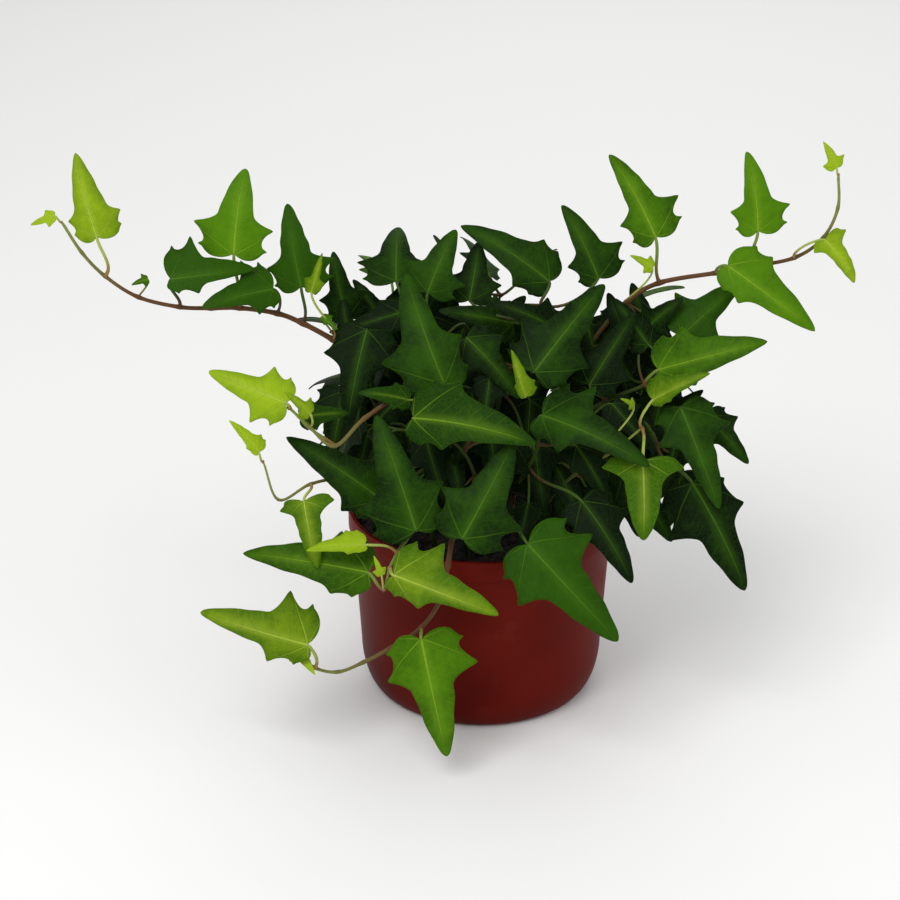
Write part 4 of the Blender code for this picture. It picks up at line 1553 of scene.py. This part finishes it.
TEE = LeafCut(Outline.TEE, (
    (0.000, 0.000, 0.030), (0.010, -0.030, 0.180), (0.030, -0.055, 0.400), (0.055, -0.060, 0.620),
    (0.080, -0.030, 0.800), (0.105, 0.025, 0.890), (0.130, 0.090, 1.030), (0.165, 0.135, 0.850),
    (0.205, 0.180, 0.680), (0.250, 0.230, 0.555), (0.310, 0.297, 0.480), (0.380, 0.375, 0.450),
    (0.460, 0.460, 0.430), (0.550, 0.555, 0.405), (0.640, 0.645, 0.370), (0.730, 0.735, 0.325),
    (0.810, 0.815, 0.270), (0.880, 0.885, 0.205), (0.940, 0.945, 0.135), (0.980, 0.985, 0.072),
    (1.000, 1.000, 0.014),
))
BUD = LeafCut(Outline.BUD, (
    (0.000, 0.000, 0.060), (0.040, -0.030, 0.320), (0.085, -0.010, 0.560), (0.130, 0.070, 0.720),
    (0.180, 0.180, 0.860), (0.230, 0.310, 1.050), (0.290, 0.345, 0.720), (0.350, 0.385, 0.500),
    (0.430, 0.445, 0.410), (0.540, 0.548, 0.390), (0.660, 0.664, 0.340), (0.780, 0.784, 0.255),
    (0.880, 0.883, 0.165), (0.955, 0.957, 0.085), (1.000, 1.000, 0.016),
), columns=5)


@dataclass
class Foliage:
    """Makes the leaves: a blade bent from its pattern, and a stalk that runs on as its midrib."""

    stems: StemMaker
    finishes: LeafFinishes
    thickness: float = 0.42
    stalk_radius: float = 0.72
    arch: float = 0.07
    side_drop: float = 0.12
    facing_rise: float = 0.75
    tip_curl: float = 8.0
    tip_start: float = 0.75
    stalk_parts: int = 12
    stalk_handle: float = 0.35
    stalk_roundness: int = 2
    seed: int = 21

    RIB: ClassVar[tuple[float, ...]] = (0.0, 0.03, 0.08, 0.16, 0.28, 0.42, 0.56, 0.70, 0.82)

    def __post_init__(self) -> None:
        """Draws the patterns."""
        self.chance = random.Random(self.seed)
        self.patterns = {cut.outline: cut.build() for cut in (ARROW, SPEAR, TEE, BUD)}

    def axes(self, leaf: Leaf) -> tuple[Vector, Vector, Vector]:
        """The blade's own directions.

        Args:
            leaf: the leaf.

        Returns:
            The directions across it, along it, and up through its upper face.
        """
        along = (Vector(leaf.tip) - Vector(leaf.base)).normalized()
        turn = math.radians(leaf.facing)
        facing = Vector((math.cos(turn), math.sin(turn), self.facing_rise))
        up = (facing - along * facing.dot(along)).normalized()
        return along.cross(up), along, up

    def build(self, name: str, leaf: Leaf, vine: Vine) -> bpy.types.Object:
        """Makes one leaf.

        Args:
            name: the object's name.
            leaf: the leaf.
            vine: the vine that it grows from.

        Returns:
            The leaf, with its blade, underside and stalk.
        """
        pattern, places = self.patterns[leaf.outline]
        materials = self.finishes.slots[leaf.age]
        blade = copy_of(pattern)
        bend = self._draw_bend()
        spots = self._bent(leaf, places, bend)
        blade.data.vertices.foreach_set("co", (spots * MM).ravel())
        blade.data.update()
        apply_modifier(blade, "SOLIDIFY", thickness=self.thickness * MM, offset=-1.0, material_offset=1)
        dress(blade, *materials)
        stalk = self._build_stalk(leaf, vine, bend)
        dress(stalk, *materials)
        last_slot = len(materials) - 1
        stalk.data.polygons.foreach_set("material_index", [last_slot] * len(stalk.data.polygons))
        whole = join(name, [blade, stalk])
        add_attribute(whole.data, "shade", np.full(len(whole.data.vertices), leaf.shade))
        bpy.ops.object.shade_smooth()
        return whole

    def _draw_bend(self) -> dict[str, float]:
        """Draws the small differences that make each leaf its own.

        Returns:
            How far the leaf is bent in each way, by name.
        """
        draw = self.chance.uniform
        return {
            "sickle": draw(-0.022, 0.022),
            "wave": draw(0.006, 0.013),
            "phase": draw(0.0, math.tau),
            "pace": draw(1.1, 1.7),
            "curl": draw(0.02, 0.06),
            "fold": draw(0.02, 0.06),
            "lobe_shift": draw(0.0, 0.075),
            "scallop": draw(0.015, 0.04),
            "scallop_pace": draw(3.2, 5.2),
        }

    def _bent(self, leaf: Leaf, places: np.ndarray, bend: dict[str, float]) -> np.ndarray:
        """The pattern's points on the bent blade, in millimetres.

        Args:
            leaf: the leaf.
            places: (across, along, margin) of each point.
            bend: the leaf's own bend.

        Returns:
            A point for each place.
        """
        across, along, up = (np.array(axis) for axis in self.axes(leaf))
        left, right = leaf.spread
        reach = np.where(places[:, 0] < 0.0, places[:, 0] * left, places[:, 0] * right)
        forward = places[:, 1] - bend["lobe_shift"] * np.sin(math.pi * np.clip(places[:, 1], 0.0, 1.0))
        scallops = np.sin(math.tau * bend["scallop_pace"] * forward + bend["phase"] * 2.0 + np.sign(reach))
        reach = reach * (1.0 + bend["scallop"] * scallops * places[:, 2])
        run = np.clip(forward, 0.0, 1.0)
        crown = 4.0 * run * (1.0 - run)
        wide = np.abs(reach)
        rounded = np.sqrt(wide ** 2 + bend["fold"] ** 2) - bend["fold"]
        height = self.arch * crown - self.side_drop * rounded
        height = height - bend["curl"] * np.clip(run - self.tip_start, 0.0, 1.0) ** 2 * self.tip_curl
        ripple = np.sin(math.tau * bend["pace"] * forward + bend["phase"] + np.sign(reach) * 1.3)
        height = height + bend["wave"] * ripple * np.clip(wide / 0.3, 0.0, 1.2) ** 2
        reach = reach + bend["sickle"] * crown
        spots = np.outer(reach, across) + np.outer(forward, along) + np.outer(height, up)
        return np.array(leaf.base) + spots * leaf.length

    def _stalk_line(self, leaf: Leaf, vine: Vine) -> list[Vector]:
        """Finds the stalk's way from inside the stem to the blade's base.

        Args:
            leaf: the leaf.
            vine: the vine that it grows from.

        Returns:
            The stalk's points, without its end.
        """
        nodes = self.stems.nodes(vine)
        start = nodes[leaf.node]
        ahead = nodes[min(leaf.node + 1, len(nodes) - 1)]
        heading = (ahead - nodes[leaf.node - 1]).normalized()
        end = Vector(leaf.base)
        reach = end - start
        away = (reach - heading * reach.dot(heading)).normalized()
        along = (Vector(leaf.tip) - end).normalized()
        handle = reach.length * self.stalk_handle
        arrival = (reach.normalized() + 0.6 * along).normalized()
        first = start + away * handle
        last = end - arrival * handle
        line = []
        for part in range(self.stalk_parts):
            t = part / self.stalk_parts
            s = 1.0 - t
            line.append(start * s ** 3 + first * (3 * s * s * t) + last * (3 * s * t * t) + end * t ** 3)
        return line

    def _build_stalk(self, leaf: Leaf, vine: Vine, bend: dict[str, float]) -> bpy.types.Object:
        """Makes the stalk, which runs on under the blade as its raised midrib.

        Args:
            leaf: the leaf.
            vine: the vine that it grows from.
            bend: the leaf's own bend.

        Returns:
            The stalk.
        """
        line = self._stalk_line(leaf, vine)
        count = len(line)
        radius = self.stalk_radius * min(1.0, 0.45 + leaf.length / 70.0)
        radii = [radius * (1.0 + 0.7 * math.exp(-14.0 * part / count)) for part in range(count)]
        up = self.axes(leaf)[2]
        rib = self._bent(leaf, np.array([(0.0, share, 0.0) for share in self.RIB]), bend)
        for share, spot in zip(self.RIB, rib):
            sink, swell = (0.55, 1.0) if share == 0.0 else (0.95, 0.62)
            line.append(Vector(spot) - up * (self.thickness * sink))
            radii.append(radius * (0.85 - 0.75 * share) * swell)
        stalk = add_tube("stalk", line, radii, self.stalk_roundness)
        knots = np.array(line[:count])
        places = np.array([point.co / MM for point in stalk.data.vertices])
        nearest = ((places[:, None, :] - knots[None, :, :]) ** 2).sum(axis=2).argmin(axis=1)
        add_attribute(stalk.data, "reach", nearest / count)
        return stalk


@dataclass
class Plant:
    """All stems and leaves."""

    compost: Compost
    batch: int = 40
    shortest_stalk: float = 6.0
    tie_break: float = 0.0001

    def build(self) -> list[bpy.types.Object]:
        """Makes each vine with its leaves, and the inner leaves.

        Returns:
            All pieces.
        """
        stems = StemMaker(self.compost)
        foliage = Foliage(stems, LeafFinishes())
        bark = BarkFinish().make()
        made = []
        for vine in VINES:
            made.append(stems.build(vine, bark))
            made += self._build_leaves(vine, foliage)
        made += self._build_inner(foliage, stems)
        for pattern, _ in foliage.patterns.values():
            bpy.data.objects.remove(pattern, do_unlink=True)
        return made

    def _build_leaves(self, vine: Vine, foliage: Foliage) -> list[bpy.types.Object]:
        """Makes a vine's leaves: each large one by itself, and its small ones together by age.

        Args:
            vine: the vine.
            foliage: the maker of the leaves.

        Returns:
            The pieces.
        """
        made = []
        small: dict[Age, list[bpy.types.Object]] = {}
        for number, leaf in enumerate(vine.leaves, start=1):
            node = f"{vine.name}_leaf_{number}"
            piece = foliage.build(f"ivy_{node}", leaf, vine)
            if leaf.joined:
                small.setdefault(leaf.age, []).append(piece)
            else:
                made.append(register(piece, leaf.age.value, node))
        for age, parts in small.items():
            piece = join(f"ivy_{vine.name}_small_{age.name.lower()}", parts)
            made.append(register(piece, age.value, vine.name))
        return made

    def _build_inner(self, foliage: Foliage, stems: StemMaker) -> list[bpy.types.Object]:
        """Makes the leaves that fill the inside, in a few pieces for each age.

        Args:
            foliage: the maker of the leaves.
            stems: the maker of the stems, which knows where the nodes are.

        Returns:
            The pieces.
        """
        groups: dict[tuple[Age, int], list[bpy.types.Object]] = {}
        hidden = [leaf for row in (*CROSS_ROWS, *BACK_ROWS, *SIDE_ROWS) for leaf in row.leaves()]
        for number, leaf in enumerate((*INNER_LEAVES, *OUTER_LEAVES, *hidden)):
            base = Vector(leaf.base)
            distance, vine, node = min(
                ((place - base).length + self.tie_break * index, index, node)
                for index, vine in enumerate(VINES)
                for node, place in enumerate(stems.nodes(vine))
                if node > 0 and (place - base).length > self.shortest_stalk
            )
            piece = foliage.build(f"inner_{number}", replace(leaf, node=node), VINES[vine])
            groups.setdefault((leaf.age, number // self.batch), []).append(piece)
            LOG.debug("inner leaf %d: %.1f mm from its node", number, distance)
        return [
            register(join(f"ivy_inner_{age.name.lower()}_{batch}", parts), age.value)
            for (age, batch), parts in groups.items()
        ]


# --------------------------------------------------------------------------------------
# Stage


@dataclass
class Studio:
    """The pale floor, the soft lights and the camera."""

    eye: Point = (0.0, -0.9063, 0.5326)
    tilt: float = 65.18
    pan: float = 0.90
    lens: float = 89.7
    sensor: float = 36.0
    floor_width: float = 24.0
    floor_gap: float = 0.0002
    sky_strength: float = 0.50
    lamp_aim: Point = (0.0, 0.0, 0.12)

    LAMPS: ClassVar[tuple[tuple[str, Point, float, float], ...]] = (
        ("key", (-0.5, -1.1, 1.5), 1.0, 19.0),
        ("fill", (1.3, -0.7, 0.9), 1.4, 4.0),
        ("back", (0.2, 1.4, 1.3), 1.2, 6.5),
    )

    def build(self) -> None:
        """Sets the stage."""
        self._build_floor()
        self._build_sky()
        for lamp in self.LAMPS:
            self._add_lamp(*lamp)
        self._place_camera()

    def _build_floor(self) -> None:
        """Lays a floor so wide that its edge is far off in every view."""
        bpy.ops.object.select_all(action="DESELECT")
        bpy.ops.mesh.primitive_plane_add(size=self.floor_width, location=(0.0, 0.0, -self.floor_gap))
        floor = fresh("floor")
        settle(floor)
        dress(floor, StageFinish().make())
        floor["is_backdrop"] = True

    def _build_sky(self) -> None:
        """Sets even pale light from all round."""
        world = bpy.data.worlds.new("pale_sky")
        world.use_nodes = True
        backdrop = world.node_tree.nodes["Background"]
        backdrop.inputs["Color"].default_value = (1.0, 1.0, 1.0, 1.0)
        backdrop.inputs["Strength"].default_value = self.sky_strength
        bpy.context.scene.world = world
        bpy.context.scene.view_settings.view_transform = "Standard"

    def _add_lamp(self, name: str, place: Point, size: float, power: float) -> None:
        """Adds a soft square lamp that looks at the plant.

        Args:
            name: the lamp's name.
            place: where it hangs.
            size: its width.
            power: its strength in watts.
        """
        data = bpy.data.lights.new(name, "AREA")
        data.size = size
        data.energy = power
        lamp = bpy.data.objects.new(name, data)
        lamp.location = place
        aim = Vector(self.lamp_aim) - Vector(place)
        lamp.rotation_euler = aim.to_track_quat("-Z", "Y").to_euler()
        bpy.context.scene.collection.objects.link(lamp)

    def _place_camera(self) -> None:
        """Puts the camera in front of the plant and a little above it."""
        data = bpy.data.cameras.new("camera")
        data.lens = self.lens
        data.sensor_width = self.sensor
        data.clip_start = 0.01
        data.clip_end = 60.0
        camera = bpy.data.objects.new("camera", data)
        camera.location = self.eye
        camera.rotation_euler = (math.radians(self.tilt), 0.0, math.radians(self.pan))
        bpy.context.scene.collection.objects.link(camera)
        bpy.context.scene.camera = camera


def write_sizes() -> None:
    """Gathers the CAD model's box and the finished model's box; nothing is written."""
    boxes = {"cad": CAD_BOX, "visual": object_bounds()}
    plain = {name: [list(corner) for corner in box] for name, box in boxes.items()}


def main() -> None:
    """Builds the potted ivy and its stage, and reports each piece."""
    logging.basicConfig(level=logging.INFO, format="%(name)s: %(message)s")
    Studio().build()
    pieces = [Pot().build()]
    compost = Compost()
    pieces += compost.build()
    pieces += Plant(compost).build()
    LOG.info("%d pieces, %d faces", len(pieces), sum(len(piece.data.polygons) for piece in pieces))
    write_sizes()


if __name__ == "__main__":
    main()
